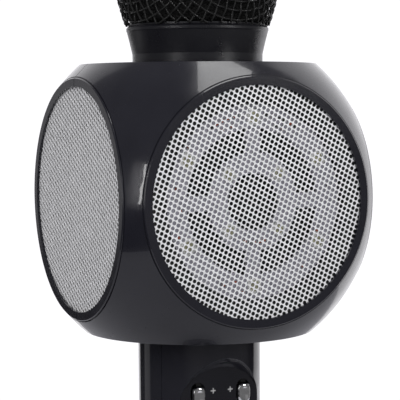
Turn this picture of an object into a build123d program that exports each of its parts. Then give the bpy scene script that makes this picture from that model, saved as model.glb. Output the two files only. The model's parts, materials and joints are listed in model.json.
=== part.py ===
"""Karaoke microphone: a wire ball head screwed on a collar, a cube-like loudspeaker head with four
round grilles, and a handle with a control panel.

Units are millimetres. The origin is the centre of the flat base of the handle, +Z runs up the
microphone's axis and the control panel and the front loudspeaker face -Y.
"""

from build123d import *

import os
from math import cos, radians, sin, sqrt

os.makedirs("parts", exist_ok=True)

# ---- driving dimensions -------------------------------------------------------------------------
HEAD_HALF = 44.0  # from the axis to each of the four side faces
HEAD_RADIUS = 58.65  # the sphere that rounds the head between its flat faces
HEAD_BELOW = 44.4  # from the head's centre to its underside
HEAD_ABOVE = 43.6  # from the head's centre to its top
HANDLE_TOP = 113.6  # underside of the head above the base
HANDLE_TOP_RADIUS = 20.5
BARREL_RADIUS = 20.2  # the straight end barrel, where a stand clip holds
BARREL_TOP = 28.0
COLLAR_HEIGHT = 12.4
WALL = 2.4  # head shells
HANDLE_WALL = 2.0
MESH_RADIUS = 36.3  # visible radius of a side grille
SEAM = 0.16  # half the width of the groove along a parting line
SEAM_DEPTH = 0.5
RIM_ROUND = 0.3  # where the head's flat top and underside meet the sphere
RIM_CHAMFER = 0.3  # outer edge of each grille ring
RIM_RADIUS, RIM_HEIGHT = 39.15, 1.0  # flat ring round each grille, a little proud of the sphere
GROOVE_RADIUS, GROOVE_FLOOR = 39.5, 43.15  # fine groove round the outside of each ring

HEAD_Z = HANDLE_TOP + HEAD_BELOW  # centre of the head
HEAD_TOP = HEAD_Z + HEAD_ABOVE
COLLAR_TOP = HEAD_TOP + COLLAR_HEIGHT
HEAD_PLANE = Plane.XY.offset(HEAD_Z)

# stack behind each side face, as distances from the axis
LIP_BACK = 43.15
GRILLE_FRONT, GRILLE_THICK, GRILLE_RADIUS = 43.1, 0.6, 38.1
BAFFLE_FRONT, BAFFLE_BACK, BAFFLE_RADIUS, BAFFLE_HOLE = 42.45, 39.6, 38.0, 30.9
SKIRT_OUT, SKIRT_IN, SKIRT_BACK = 34.6, 32.0, 36.2
LED_BOARD_FRONT, LED_BOARD_THICK, LED_BOARD_RADIUS = 39.5, 1.2, 30.5
FLANGE_FRONT, FLANGE_THICK, FLANGE_RADIUS = 36.1, 1.5, 34.6

# wire ball
BALL_FOOT_RADIUS = 23.8
BALL_RADIUS = 29.0
BALL_WAIST = 24.6  # height of the tapered lower cage
BALL_BULGE = 0.9  # how far its side swells in the middle
BAND_HEIGHT = 4.0
MESH_THICK = 0.8
BALL_FOOT = COLLAR_TOP + 0.3
BAND_BOTTOM = BALL_FOOT + BALL_WAIST
BAND_TOP = BAND_BOTTOM + BAND_HEIGHT
THREAD_RADIUS = 20.4
THREAD_LENGTH = 4.5
SEAT_THICK = 0.6  # the thread ring's seat on the collar

# control panel, let into a scoop in the front of the handle; distances are from the axis
PANEL_HALF_WIDTH = 14.0
PANEL_ARCH = 9.7  # rise of the elliptical ends
PANEL_TOP = 92.8  # centre height of the upper end
PANEL_BOTTOM = 45.0  # and of the lower one
PANEL_FACE = 16.3  # the middle of its face
PANEL_CROWN = 77.0  # radius of its gently crowned face
PANEL_BACK = 13.7
SCOOP_SLOPE = 0.85  # sideways run of the scoop's rim for each millimetre outward
SLIDER_X = 8.2
SLIDER_Z = 93.4
SLOT_WIDTH, SLOT_LENGTH, SLOT_TOP = 5.0, 24.0, 98.0
KNOB_WIDTH, KNOB_LENGTH = 4.5, 6.8
BOARD_FACE, BOARD_THICK = 7.0, 1.6  # circuit board behind the panel
SWITCH_TOP = 11.9
BUTTON_CLEAR = 0.15
BUTTON_RISE = 0.7

SIDES = {"front": 0, "rear": 180, "left": -90, "right": 90}
SPEAKER_SIDES = ("front", "rear")
RADIATOR_SIDES = ("left", "right")


def write(part, name):
    """Labels a finished piece and writes it as its own STEP file."""
    part.label = name
    export_step(part, f"parts/{name}.step")


def side_plane(distance):
    """Plane of the front face at a distance from the axis, facing outward, centred on the head."""
    return Plane(origin=(0, -distance, HEAD_Z), x_dir=(1, 0, 0), z_dir=(0, -1, 0))


def panel_plane(distance):
    """Plane parallel to the control panel, with x to the right and y up from the base."""
    return Plane(origin=(0, -distance, 0), x_dir=(1, 0, 0), z_dir=(0, -1, 0))


def head_block(inset, rounding=0.0):
    """Solid of the head's shape, inset from its outer surface, with rounded edges if asked."""
    with BuildPart() as block:
        with Locations((0, 0, HEAD_Z)):
            Sphere(HEAD_RADIUS - inset)
        width = 2 * (HEAD_HALF - inset)
        height = HEAD_ABOVE + HEAD_BELOW - 2 * inset
        with Locations((0, 0, HEAD_Z + (HEAD_ABOVE - HEAD_BELOW) / 2)):
            Box(width, width, height, mode=Mode.INTERSECT)
        if rounding:
            ends = block.edges().filter_by(GeomType.CIRCLE).sort_by(Axis.Z)
            fillet([ends[0], ends[-1]], rounding)
    return block.part


# ---- head shells ------------------------------------------------------------------------------
CENTRE_BORE = 9.0  # wires and capsule lead
SCREW_CIRCLE = 14.5
SCREW_RADIUS = 1.2


def rimmed_head():
    """The head's outer shape: the rounded block with a grooved flat ring on each side face."""
    with BuildPart(mode=Mode.PRIVATE) as ring:
        with BuildSketch(side_plane(HEAD_HALF - RIM_HEIGHT)):
            Circle(RIM_RADIUS)
        extrude(amount=RIM_HEIGHT)
        chamfer(ring.edges().sort_by(Axis.Y)[0], RIM_CHAMFER)
    with BuildPart(mode=Mode.PRIVATE) as groove:
        with BuildSketch(side_plane(GROOVE_FLOOR)):
            Circle(GROOVE_RADIUS)
        extrude(amount=HEAD_HALF - GROOVE_FLOOR)
    with BuildPart() as head:
        add(head_block(0, RIM_ROUND))
        for turn in SIDES.values():
            add(groove.part.rotate(Axis.Z, turn), mode=Mode.SUBTRACT)
            add(ring.part.rotate(Axis.Z, turn))
    return head.part


def head_shell(front):
    """One half of the head, split on the plane through the axis and the side faces."""
    outer = rimmed_head()
    inner = head_block(WALL)
    skin = head_block(SEAM_DEPTH)
    with BuildPart() as shell:
        add(outer)
        add(inner, mode=Mode.SUBTRACT)
        for turn in SIDES.values():
            with BuildPart(mode=Mode.PRIVATE) as opening:
                with BuildSketch(side_plane(LIP_BACK)):
                    Circle(MESH_RADIUS)
                extrude(amount=HEAD_HALF)
                with BuildSketch(side_plane(LIP_BACK)):
                    Circle(GRILLE_RADIUS + 0.1)
                extrude(amount=-(LIP_BACK - HEAD_HALF + WALL + 1))
            add(opening.part.rotate(Axis.Z, turn), mode=Mode.SUBTRACT)
        with BuildSketch(Plane.XY.offset(HANDLE_TOP - 1)):
            Circle(CENTRE_BORE)
            with PolarLocations(SCREW_CIRCLE, 4, start_angle=45):
                Circle(SCREW_RADIUS)
        extrude(amount=HEAD_TOP - HANDLE_TOP + 2, mode=Mode.SUBTRACT)
        half = 2 * HEAD_HALF
        with Locations((0, half if front else -half, HEAD_Z)):
            Box(4 * half, 2 * half, 4 * half, mode=Mode.SUBTRACT)
        with BuildPart(mode=Mode.PRIVATE) as seam:
            add(outer)
            add(skin, mode=Mode.SUBTRACT)
            with Locations((0, 0, HEAD_Z)):
                Box(4 * half, 2 * SEAM, 4 * half, mode=Mode.INTERSECT)
        add(seam.part, mode=Mode.SUBTRACT)
    return shell.part


write(head_shell(front=True), "head_shell_front")
write(head_shell(front=False), "head_shell_rear")

# ---- side grilles, baffles ---------------------------------------------------------------------
for side, turn in SIDES.items():
    with BuildPart() as grille:
        with BuildSketch(side_plane(GRILLE_FRONT - GRILLE_THICK)):
            Circle(GRILLE_RADIUS)
        extrude(amount=GRILLE_THICK)
    write(grille.part.rotate(Axis.Z, turn), f"grille_{side}")

    with BuildPart() as baffle:
        with BuildSketch(side_plane(BAFFLE_BACK)):
            Circle(BAFFLE_RADIUS)
            Circle(BAFFLE_HOLE, mode=Mode.SUBTRACT)
        extrude(amount=BAFFLE_FRONT - BAFFLE_BACK)
        with BuildSketch(side_plane(SKIRT_BACK)):
            Circle(SKIRT_OUT)
            Circle(SKIRT_IN, mode=Mode.SUBTRACT)
        extrude(amount=BAFFLE_BACK - SKIRT_BACK)
    write(baffle.part.rotate(Axis.Z, turn), f"baffle_{side}")

# ---- lit boards behind the front and rear grilles ------------------------------------------------
BOARD_EYE = 8.9
WINDOW_IN, WINDOW_OUT = 15.5, 22.9
SPOKE_WIDTH = 4.9
LAMP_SIZE, LAMP_THICK = 3.4, 1.0
OUTER_LAMPS, INNER_LAMPS = 26.2, 12.2

for side in SPEAKER_SIDES:
    with BuildPart() as led_board:
        with BuildSketch(side_plane(LED_BOARD_FRONT - LED_BOARD_THICK)):
            Circle(LED_BOARD_RADIUS)
            Circle(BOARD_EYE, mode=Mode.SUBTRACT)
            with BuildSketch(mode=Mode.PRIVATE) as windows:
                Circle(WINDOW_OUT)
                Circle(WINDOW_IN, mode=Mode.SUBTRACT)
                Rectangle(2 * WINDOW_OUT + 2, SPOKE_WIDTH, mode=Mode.SUBTRACT)
                Rectangle(SPOKE_WIDTH, 2 * WINDOW_OUT + 2, mode=Mode.SUBTRACT)
            add(windows.sketch, mode=Mode.SUBTRACT)
        extrude(amount=LED_BOARD_THICK)
    write(led_board.part.rotate(Axis.Z, SIDES[side]), f"led_board_{side}")

    with BuildPart() as lamps:
        with BuildSketch(side_plane(LED_BOARD_FRONT)):
            with PolarLocations(OUTER_LAMPS, 6, start_angle=30):
                Rectangle(LAMP_SIZE, LAMP_SIZE)
            with PolarLocations(INNER_LAMPS, 4, start_angle=45):
                Rectangle(LAMP_SIZE, LAMP_SIZE)
        extrude(amount=LAMP_THICK)
    write(lamps.part.rotate(Axis.Z, SIDES[side]), f"led_lamps_{side}")

# ---- loudspeaker drivers -------------------------------------------------------------------------
SURROUND_OUT, SURROUND_IN = 27.0, 23.0
CONE_RADIUS = SURROUND_IN - 0.2
CONE_FRONT = 36.2
NECK_RADIUS, NECK_FRONT, NECK_BACK = 7.0, 29.5, 25.0
CONE_THICK = 0.7
MAGNET_RADIUS, MAGNET_FRONT, MAGNET_BACK = 16.0, 22.0, 11.0
GAP_RADIUS = NECK_RADIUS + 0.6
POLE_RADIUS = NECK_RADIUS - CONE_THICK - 0.6


def side_axis_profile():
    """Plane that holds the front axis: local x is the radius and local y the distance out."""
    return Plane(origin=(0, 0, HEAD_Z), x_dir=(1, 0, 0), z_dir=(0, 0, 1))


def turned(points):
    """Ring turned about the front axis from points (radius, distance out from the microphone axis)."""
    with BuildPart() as ring:
        with BuildSketch(side_axis_profile()):
            with BuildLine():
                Polyline([(r, -out) for r, out in points], close=True)
            make_face()
        revolve(axis=Axis((0, 0, HEAD_Z), (0, 1, 0)))
    return ring.part


for side in SPEAKER_SIDES:
    turn = SIDES[side]
    basket = turned(
        [
            (FLANGE_RADIUS, FLANGE_FRONT),
            (SURROUND_IN + 0.4, FLANGE_FRONT),
            (SURROUND_IN + 0.4, FLANGE_FRONT - FLANGE_THICK),
            (SURROUND_IN + 0.4, FLANGE_FRONT - 3),
            (MAGNET_RADIUS - 3, MAGNET_FRONT + 1.2),
            (GAP_RADIUS, MAGNET_FRONT + 1.2),
            (GAP_RADIUS, MAGNET_FRONT),
            (MAGNET_RADIUS, MAGNET_FRONT),
            (SURROUND_OUT - 1, FLANGE_FRONT - FLANGE_THICK - 1.6),
            (SURROUND_OUT - 1, FLANGE_FRONT - FLANGE_THICK),
            (FLANGE_RADIUS, FLANGE_FRONT - FLANGE_THICK),
        ]
    )
    write(basket.rotate(Axis.Z, turn), f"driver_basket_{side}")

    with BuildPart() as magnet:
        with BuildSketch(side_plane(MAGNET_BACK)):
            Circle(MAGNET_RADIUS)
        extrude(amount=MAGNET_FRONT - MAGNET_BACK)
        with BuildSketch(side_plane(MAGNET_BACK + 3)):
            Circle(GAP_RADIUS)
            Circle(POLE_RADIUS, mode=Mode.SUBTRACT)
        extrude(amount=MAGNET_FRONT - MAGNET_BACK, mode=Mode.SUBTRACT)
    write(magnet.part.rotate(Axis.Z, turn), f"driver_magnet_{side}")

    cone = turned(
        [
            (CONE_RADIUS, CONE_FRONT),
            (CONE_RADIUS - 1, CONE_FRONT),
            (NECK_RADIUS, NECK_FRONT + 0.8),
            (4.6, NECK_FRONT + 2.2),
            (0, NECK_FRONT + 2.9),
            (0, NECK_FRONT + 2.1),
            (4.4, NECK_FRONT + 1.4),
            (NECK_RADIUS - CONE_THICK, NECK_FRONT),
            (NECK_RADIUS - CONE_THICK, NECK_BACK),
            (NECK_RADIUS, NECK_BACK),
            (NECK_RADIUS, NECK_FRONT - 0.1),
            (CONE_RADIUS, CONE_FRONT - 0.8),
        ]
    )
    write(cone.rotate(Axis.Z, turn), f"driver_cone_{side}")


def surround(inner, outer, base):
    """Rubber half-roll between a frame and the diaphragm inside it."""
    roll = (outer - inner) / 2 - 0.5
    middle = (outer + inner) / 2
    with BuildPart() as ring:
        with BuildSketch(side_axis_profile()):
            with BuildLine():
                l1 = Line((inner, -base), (middle - roll, -base))
                l2 = ThreePointArc(l1 @ 1, (middle, -base - roll), (middle + roll, -base))
                l3 = Line(l2 @ 1, (outer, -base))
                l4 = Line(l3 @ 1, (outer, -base - 0.4))
                l5 = Line(l4 @ 1, (middle + roll + 0.35, -base - 0.4))
                l6 = ThreePointArc(
                    l5 @ 1, (middle, -base - roll - 0.4), (middle - roll - 0.35, -base - 0.4)
                )
                l7 = Line(l6 @ 1, (inner, -base - 0.4))
                Line(l7 @ 1, l1 @ 0)
            make_face()
        revolve(axis=Axis((0, 0, HEAD_Z), (0, 1, 0)))
    return ring.part


for side in SPEAKER_SIDES:
    piece = surround(SURROUND_IN, SURROUND_OUT, FLANGE_FRONT)
    write(piece.rotate(Axis.Z, SIDES[side]), f"driver_surround_{side}")

# ---- passive bass radiators ----------------------------------------------------------------------
RADIATOR_OUT, RADIATOR_IN = 30.0, 24.5
PLATE_RADIUS = RADIATOR_IN - 0.2
WEIGHT_RADIUS, WEIGHT_THICK = 15.0, 3.0

for side in RADIATOR_SIDES:
    turn = SIDES[side]
    with BuildPart() as radiator_frame:
        with BuildSketch(side_plane(FLANGE_FRONT - FLANGE_THICK)):
            Circle(FLANGE_RADIUS)
            Circle(RADIATOR_IN + 0.4, mode=Mode.SUBTRACT)
        extrude(amount=FLANGE_THICK)
    write(radiator_frame.part.rotate(Axis.Z, turn), f"radiator_frame_{side}")

    piece = surround(RADIATOR_IN, RADIATOR_OUT, FLANGE_FRONT)
    write(piece.rotate(Axis.Z, turn), f"radiator_surround_{side}")

    with BuildPart() as radiator_plate:
        with BuildSketch(side_plane(FLANGE_FRONT - 1.0)):
            Circle(PLATE_RADIUS)
        extrude(amount=1.0)
        with BuildSketch(side_plane(FLANGE_FRONT)):
            Circle(WEIGHT_RADIUS)
        extrude(amount=WEIGHT_THICK / 4, taper=30)
        with BuildSketch(side_plane(FLANGE_FRONT - 1.0 - WEIGHT_THICK)):
            Circle(WEIGHT_RADIUS)
        extrude(amount=WEIGHT_THICK)
    write(radiator_plate.part.rotate(Axis.Z, turn), f"radiator_plate_{side}")

# ---- collar and capsule ----------------------------------------------------------------------------
COLLAR_FLOOR = 3.0
COLLAR_FOOT_RADIUS = 21.6
COLLAR_LIP_RADIUS = 23.6
LIP_HEIGHT = 1.8
FLARE_START = 3.3
SHADOW_GAP, GAP_HEIGHT = 0.35, 0.95  # undercut at the foot

with BuildPart() as neck_collar:
    with BuildSketch(Plane.XZ):
        with BuildLine():
            foot = Line((CENTRE_BORE, HEAD_TOP), (COLLAR_FOOT_RADIUS - SHADOW_GAP, HEAD_TOP))
            gap = Line(foot @ 1, (COLLAR_FOOT_RADIUS - SHADOW_GAP, HEAD_TOP + GAP_HEIGHT))
            step = Line(gap @ 1, (COLLAR_FOOT_RADIUS, HEAD_TOP + GAP_HEIGHT))
            rise = Line(step @ 1, (COLLAR_FOOT_RADIUS + 0.03, HEAD_TOP + FLARE_START))
            flare = ThreePointArc(
                rise @ 1,
                (COLLAR_FOOT_RADIUS + 0.93, HEAD_TOP + 7.2),
                (COLLAR_LIP_RADIUS - 0.2, COLLAR_TOP - LIP_HEIGHT),
            )
            lip = Line(flare @ 1, (COLLAR_LIP_RADIUS, COLLAR_TOP - LIP_HEIGHT + 0.4))
            edge = Line(lip @ 1, (COLLAR_LIP_RADIUS, COLLAR_TOP - 0.6))
            crown = Line(edge @ 1, (COLLAR_LIP_RADIUS - 0.6, COLLAR_TOP))
            land = Line(crown @ 1, (THREAD_RADIUS + 0.1, COLLAR_TOP))
            bore = Line(land @ 1, (THREAD_RADIUS + 0.1, HEAD_TOP + COLLAR_FLOOR))
            floor = Line(bore @ 1, (CENTRE_BORE, HEAD_TOP + COLLAR_FLOOR))
            Line(floor @ 1, foot @ 0)
        make_face()
    revolve(axis=Axis.Z)
    with BuildSketch(Plane.XY.offset(HEAD_TOP - 1)):
        with PolarLocations(SCREW_CIRCLE, 4, start_angle=45):
            Circle(SCREW_RADIUS)
    extrude(amount=COLLAR_FLOOR + 2, mode=Mode.SUBTRACT)
write(neck_collar.part, "neck_collar")


SCREW_SEATS = {"down": HEAD_TOP + COLLAR_FLOOR, "up": HANDLE_TOP - COLLAR_FLOOR}
SCREW_HEAD_RADIUS, SCREW_HEAD_HEIGHT = 2.2, 1.4

with BuildPart() as head_screws:
    for way, seat in SCREW_SEATS.items():
        sign = 1 if way == "down" else -1
        with BuildSketch(Plane.XY.offset(seat)):
            with PolarLocations(SCREW_CIRCLE, 4, start_angle=45):
                Circle(SCREW_HEAD_RADIUS)
        extrude(amount=sign * SCREW_HEAD_HEIGHT)
        with BuildSketch(Plane.XY.offset(seat)):
            with PolarLocations(SCREW_CIRCLE, 4, start_angle=45):
                Circle(SCREW_RADIUS - 0.05)
        extrude(amount=-sign * (COLLAR_FLOOR + WALL - 0.3))
write(head_screws.part, "head_screws")

CAPSULE_RADIUS = 12.0
CAPSULE_FOOT, CAPSULE_TOP = HEAD_TOP + 12.0, BAND_BOTTOM - 1.0
MOUNT_RADIUS = 9.6

with BuildPart() as capsule_mount:
    with BuildSketch(Plane.XY.offset(HEAD_TOP + COLLAR_FLOOR)):
        Circle(MOUNT_RADIUS)
        Circle(2.2, mode=Mode.SUBTRACT)
    extrude(amount=CAPSULE_FOOT - HEAD_TOP - COLLAR_FLOOR)
    with BuildSketch(Plane.XY.offset(HEAD_TOP - 0.5)):
        Circle(CENTRE_BORE - 0.1)
        Circle(2.2, mode=Mode.SUBTRACT)
    extrude(amount=COLLAR_FLOOR + 0.5)
write(capsule_mount.part, "capsule_mount")

with BuildPart() as capsule:
    with BuildSketch(Plane.XY.offset(CAPSULE_FOOT)):
        Circle(CAPSULE_RADIUS - 1.5)
    extrude(amount=8)
    with BuildSketch(Plane.XY.offset(CAPSULE_FOOT + 8)):
        Circle(CAPSULE_RADIUS)
    extrude(amount=CAPSULE_TOP - CAPSULE_FOOT - 8)
    fillet(capsule.edges().filter_by(GeomType.CIRCLE).sort_by(Axis.Z)[-1], 1.2)
write(capsule.part, "capsule")

LEAD_RADIUS = 1.5
with BuildPart() as capsule_lead:
    with BuildSketch(Plane.XY.offset(HANDLE_TOP - 8)):
        Circle(LEAD_RADIUS)
    extrude(amount=CAPSULE_FOOT - HANDLE_TOP + 8)
write(capsule_lead.part, "capsule_lead")

# ---- wire ball -----------------------------------------------------------------------------------
FOAM_GAP = 0.5
FOAM_THICK = 3.5
FOAM_LIFT = 0.7  # the foam starts just above the seat of the thread ring


def cage_profile(inset, bottom):
    """Outline (radius, height) of the tapered lower cage, inset from its outside."""
    slope = (BALL_RADIUS - BALL_FOOT_RADIUS) / BALL_WAIST
    start = BALL_FOOT_RADIUS - inset + slope * (bottom - BALL_FOOT)
    end = BALL_RADIUS - inset
    middle = ((start + end) / 2 + BALL_BULGE, (bottom + BAND_BOTTOM) / 2)
    return (start, bottom), middle, (end, BAND_BOTTOM)


with BuildPart() as ball_cage_lower:
    out_start, out_mid, out_end = cage_profile(0, BALL_FOOT)
    in_start, in_mid, in_end = cage_profile(MESH_THICK, BALL_FOOT)
    with BuildSketch(Plane.XZ):
        with BuildLine():
            skin_out = ThreePointArc(out_start, out_mid, out_end)
            Line(skin_out @ 1, in_end)
            skin_in = ThreePointArc(in_end, in_mid, in_start)
            Line(skin_in @ 1, skin_out @ 0)
        make_face()
    revolve(axis=Axis.Z)
write(ball_cage_lower.part, "ball_cage_lower")

with BuildPart() as ball_cage_upper:
    with BuildSketch(Plane.XZ):
        with BuildLine():
            dome_out = CenterArc((0, BAND_TOP), BALL_RADIUS, 0, 90)
            Line(dome_out @ 1, (0, BAND_TOP + BALL_RADIUS - MESH_THICK))
            dome_in = CenterArc((0, BAND_TOP), BALL_RADIUS - MESH_THICK, 0, 90)
            Line(dome_in @ 0, dome_out @ 0)
        make_face()
    revolve(axis=Axis.Z)
write(ball_cage_upper.part, "ball_cage_upper")

with BuildPart() as ball_band:
    with BuildSketch(Plane.XY.offset(BAND_BOTTOM)):
        Circle(BALL_RADIUS + 0.7)
        Circle(BALL_RADIUS - 1.2, mode=Mode.SUBTRACT)
    extrude(amount=BAND_HEIGHT)
    rims = ball_band.edges().filter_by(GeomType.CIRCLE).group_by(SortBy.RADIUS)[-1]
    fillet(rims, 0.6)
write(ball_band.part, "ball_band")

with BuildPart() as ball_thread_ring:
    with BuildSketch(Plane.XY.offset(COLLAR_TOP + 0.1)):
        Circle(BALL_FOOT_RADIUS - MESH_THICK - 0.1)
        Circle(THREAD_RADIUS - 2, mode=Mode.SUBTRACT)
    extrude(amount=SEAT_THICK)
    with BuildSketch(Plane.XY.offset(COLLAR_TOP + 0.1)):
        Circle(THREAD_RADIUS)
        Circle(THREAD_RADIUS - 2, mode=Mode.SUBTRACT)
    extrude(amount=-THREAD_LENGTH)
write(ball_thread_ring.part, "ball_thread_ring")

with BuildPart() as windscreen_foam:
    foam_bottom = BALL_FOOT + FOAM_LIFT
    inset = MESH_THICK + FOAM_GAP
    out_start, out_mid, out_end = cage_profile(inset, foam_bottom)
    in_start, in_mid, in_end = cage_profile(inset + FOAM_THICK, foam_bottom)
    dome_radius = BALL_RADIUS - inset - 0.4
    with BuildSketch(Plane.XZ):
        with BuildLine():
            skirt_out = ThreePointArc(
                (out_start[0] - 0.4, out_start[1]),
                (out_mid[0] - 0.4, out_mid[1]),
                (dome_radius, BAND_BOTTOM),
            )
            Line(skirt_out @ 1, (dome_radius, BAND_TOP))
            cap_out = CenterArc((0, BAND_TOP), dome_radius, 0, 90)
            Line(cap_out @ 1, (0, BAND_TOP + dome_radius - FOAM_THICK))
            cap_in = CenterArc((0, BAND_TOP), dome_radius - FOAM_THICK, 0, 90)
            Line(cap_in @ 0, (dome_radius - FOAM_THICK, BAND_BOTTOM))
            skirt_in = ThreePointArc(
                (dome_radius - FOAM_THICK, BAND_BOTTOM),
                (in_mid[0] - 0.4, in_mid[1]),
                (in_start[0] - 0.4, in_start[1]),
            )
            Line(skirt_in @ 1, skirt_out @ 0)
        make_face()
    revolve(axis=Axis.Z)
write(windscreen_foam.part, "windscreen_foam")

# ---- handle shells ---------------------------------------------------------------------------------
FLANGE_HEIGHT = 1.1
SHELL_TOP = HANDLE_TOP - FLANGE_HEIGHT - 0.05
SEAM_ANGLE = 63.0  # the handle's front shell spans this much each side of the front
TAPER = (HANDLE_TOP_RADIUS - BARREL_RADIUS) / (HANDLE_TOP - BARREL_TOP)
BOSS_WIDER, BOSS_BACK = 1.6, 12.6  # rim of the shell that backs the panel's edge
LEDGE = 1.4


def handle_radius(z):
    """Outer radius of the handle at a height."""
    return BARREL_RADIUS + TAPER * (z - BARREL_TOP)


def panel_outline(grow):
    """The control panel's arch-ended outline, grown by a margin."""
    half = PANEL_HALF_WIDTH + grow
    rise = PANEL_ARCH + grow
    with BuildSketch(mode=Mode.PRIVATE) as shape:
        with BuildLine():
            top = EllipticalCenterArc((0, PANEL_TOP), half, rise, 0, arc_size=180)
            left = Line(top @ 1, (-half, PANEL_BOTTOM))
            bottom = EllipticalCenterArc((0, PANEL_BOTTOM), half, rise, 180, arc_size=180)
            Line(bottom @ 1, top @ 0)
        make_face()
    return shape.sketch


def panel_surface(x):
    """Distance of the panel's crowned face from the axis, x across from its middle."""
    return PANEL_FACE - PANEL_CROWN + sqrt(PANEL_CROWN**2 - x**2)


def crowned_block(grow):
    """Solid behind the panel's crowned face, as wide as the panel's outline grown by a margin."""
    with BuildPart(mode=Mode.PRIVATE) as block:
        with BuildSketch(panel_plane(PANEL_BACK)):
            add(panel_outline(grow))
        extrude(amount=PANEL_FACE)
        with BuildSketch(Plane.XY):
            with Locations((0, PANEL_CROWN - PANEL_FACE)):
                Circle(PANEL_CROWN)
        extrude(amount=HANDLE_TOP, mode=Mode.INTERSECT)
    return block.part


def front_wedge(half_angle, reach=40.0):
    """Prism that holds the part of the handle within an angle of the front."""
    a = radians(half_angle)
    with BuildPart(mode=Mode.PRIVATE) as wedge:
        with BuildSketch(Plane.XY):
            with BuildLine():
                Polyline(
                    (0, 0),
                    (-reach * sin(a), -reach * cos(a)),
                    (0, -2 * reach),
                    (reach * sin(a), -reach * cos(a)),
                    close=True,
                )
            make_face()
        extrude(amount=HANDLE_TOP)
    return wedge.part


def handle_cone(inset):
    """Solid of the tapered handle, inset from its outer surface."""
    height = SHELL_TOP - BARREL_TOP
    with BuildPart(mode=Mode.PRIVATE) as cone:
        with Locations((0, 0, (SHELL_TOP + BARREL_TOP) / 2)):
            Cone(handle_radius(BARREL_TOP) - inset, handle_radius(SHELL_TOP) - inset, height)
    return cone.part


with BuildPart() as handle_shell_front:
    add(handle_cone(0))
    add(handle_cone(HANDLE_WALL), mode=Mode.SUBTRACT)
    add(front_wedge(SEAM_ANGLE), mode=Mode.INTERSECT)
    with BuildPart(mode=Mode.PRIVATE) as boss:
        with BuildSketch(panel_plane(BOSS_BACK)):
            add(panel_outline(BOSS_WIDER))
        extrude(amount=BARREL_RADIUS)
        add(handle_cone(0.01), mode=Mode.INTERSECT)
    add(boss.part)
    scoop_out = HANDLE_TOP_RADIUS + 1
    with BuildSketch(panel_plane(PANEL_FACE)):
        add(panel_outline(0.05))
    with BuildSketch(panel_plane(scoop_out)):
        add(panel_outline(SCOOP_SLOPE * (scoop_out - PANEL_FACE)))
    loft(ruled=True, mode=Mode.SUBTRACT)
    with BuildSketch(panel_plane(PANEL_BACK)):
        add(panel_outline(0.05))
    extrude(amount=PANEL_FACE - PANEL_BACK + 0.1, mode=Mode.SUBTRACT)
    with BuildSketch(panel_plane(0)):
        add(panel_outline(-LEDGE))
    extrude(amount=40, mode=Mode.SUBTRACT)
    with BuildPart(mode=Mode.PRIVATE) as groove:
        add(handle_cone(-1))
        add(handle_cone(SEAM_DEPTH), mode=Mode.SUBTRACT)
        add(front_wedge(SEAM_ANGLE + 1), mode=Mode.INTERSECT)
        add(front_wedge(SEAM_ANGLE - 0.5), mode=Mode.SUBTRACT)
    add(groove.part, mode=Mode.SUBTRACT)
write(handle_shell_front.part, "handle_shell_front")

SPIGOT_SCREW_Z = BARREL_TOP + 2.6
SPIGOT_SCREW_HEAD, SPIGOT_SCREW_SHANK, SPIGOT_SCREW_SEAT = 1.7, 0.95, 1.1


def spigot_screw(clearance, head_front, length):
    """The screw at the back of the handle, or the hole for it, grown by a clearance."""
    with BuildPart(mode=Mode.PRIVATE) as screw:
        surface = handle_radius(SPIGOT_SCREW_Z)
        spot = Plane(origin=(0, surface, SPIGOT_SCREW_Z), x_dir=(1, 0, 0), z_dir=(0, 1, 0))
        with BuildSketch(spot.offset(-SPIGOT_SCREW_SEAT)):
            Circle(SPIGOT_SCREW_HEAD + clearance)
        extrude(amount=SPIGOT_SCREW_SEAT + head_front)
        with BuildSketch(spot.offset(-SPIGOT_SCREW_SEAT)):
            Circle(SPIGOT_SCREW_SHANK + clearance)
        extrude(amount=-length)
    return screw.part


with BuildPart() as handle_shell_rear:
    add(handle_cone(0))
    add(handle_cone(HANDLE_WALL), mode=Mode.SUBTRACT)
    add(front_wedge(SEAM_ANGLE + 0.01), mode=Mode.SUBTRACT)
    add(spigot_screw(0.05, 1.0, 5.0), mode=Mode.SUBTRACT)
write(handle_shell_rear.part, "handle_shell_rear")

with BuildPart() as neck_flange:
    with BuildSketch(Plane.XY.offset(HANDLE_TOP)):
        Circle(HANDLE_TOP_RADIUS + 0.3)
        Circle(CENTRE_BORE, mode=Mode.SUBTRACT)
        with PolarLocations(SCREW_CIRCLE, 4, start_angle=45):
            Circle(SCREW_RADIUS, mode=Mode.SUBTRACT)
    extrude(amount=-FLANGE_HEIGHT)
    with BuildSketch(Plane.XY.offset(HANDLE_TOP - FLANGE_HEIGHT)):
        Circle(handle_radius(SHELL_TOP) - HANDLE_WALL - 0.15)
        Circle(CENTRE_BORE, mode=Mode.SUBTRACT)
        with PolarLocations(SCREW_CIRCLE, 4, start_angle=45):
            Circle(SCREW_RADIUS, mode=Mode.SUBTRACT)
    extrude(amount=-(COLLAR_FLOOR - FLANGE_HEIGHT))
write(neck_flange.part, "neck_flange")

# ---- control panel ---------------------------------------------------------------------------------
SLOT_MIDDLE = SLOT_TOP - SLOT_LENGTH / 2
LENS_Z, LENS_RADIUS = 51.0, 1.3

# name: (x, z, radius or (width, height))
BUTTONS = {
    "play_button": (0.0, 60.5, 4.3),
    "previous_button": (-8.9, 60.5, 2.9),
    "next_button": (8.9, 60.5, 2.9),
    "mode_button": (-6.6, 51.0, (6.4, 3.6)),
    "record_button": (6.6, 51.0, (6.4, 3.6)),
    "power_button": (0.0, 41.5, 3.4),
}


def button_outline(size, grow):
    """Round or pill-shaped outline of a button, grown by a margin."""
    if isinstance(size, tuple):
        width, height = size
        SlotOverall(width + 2 * grow, height + 2 * grow)
    else:
        Circle(size + grow)


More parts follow.
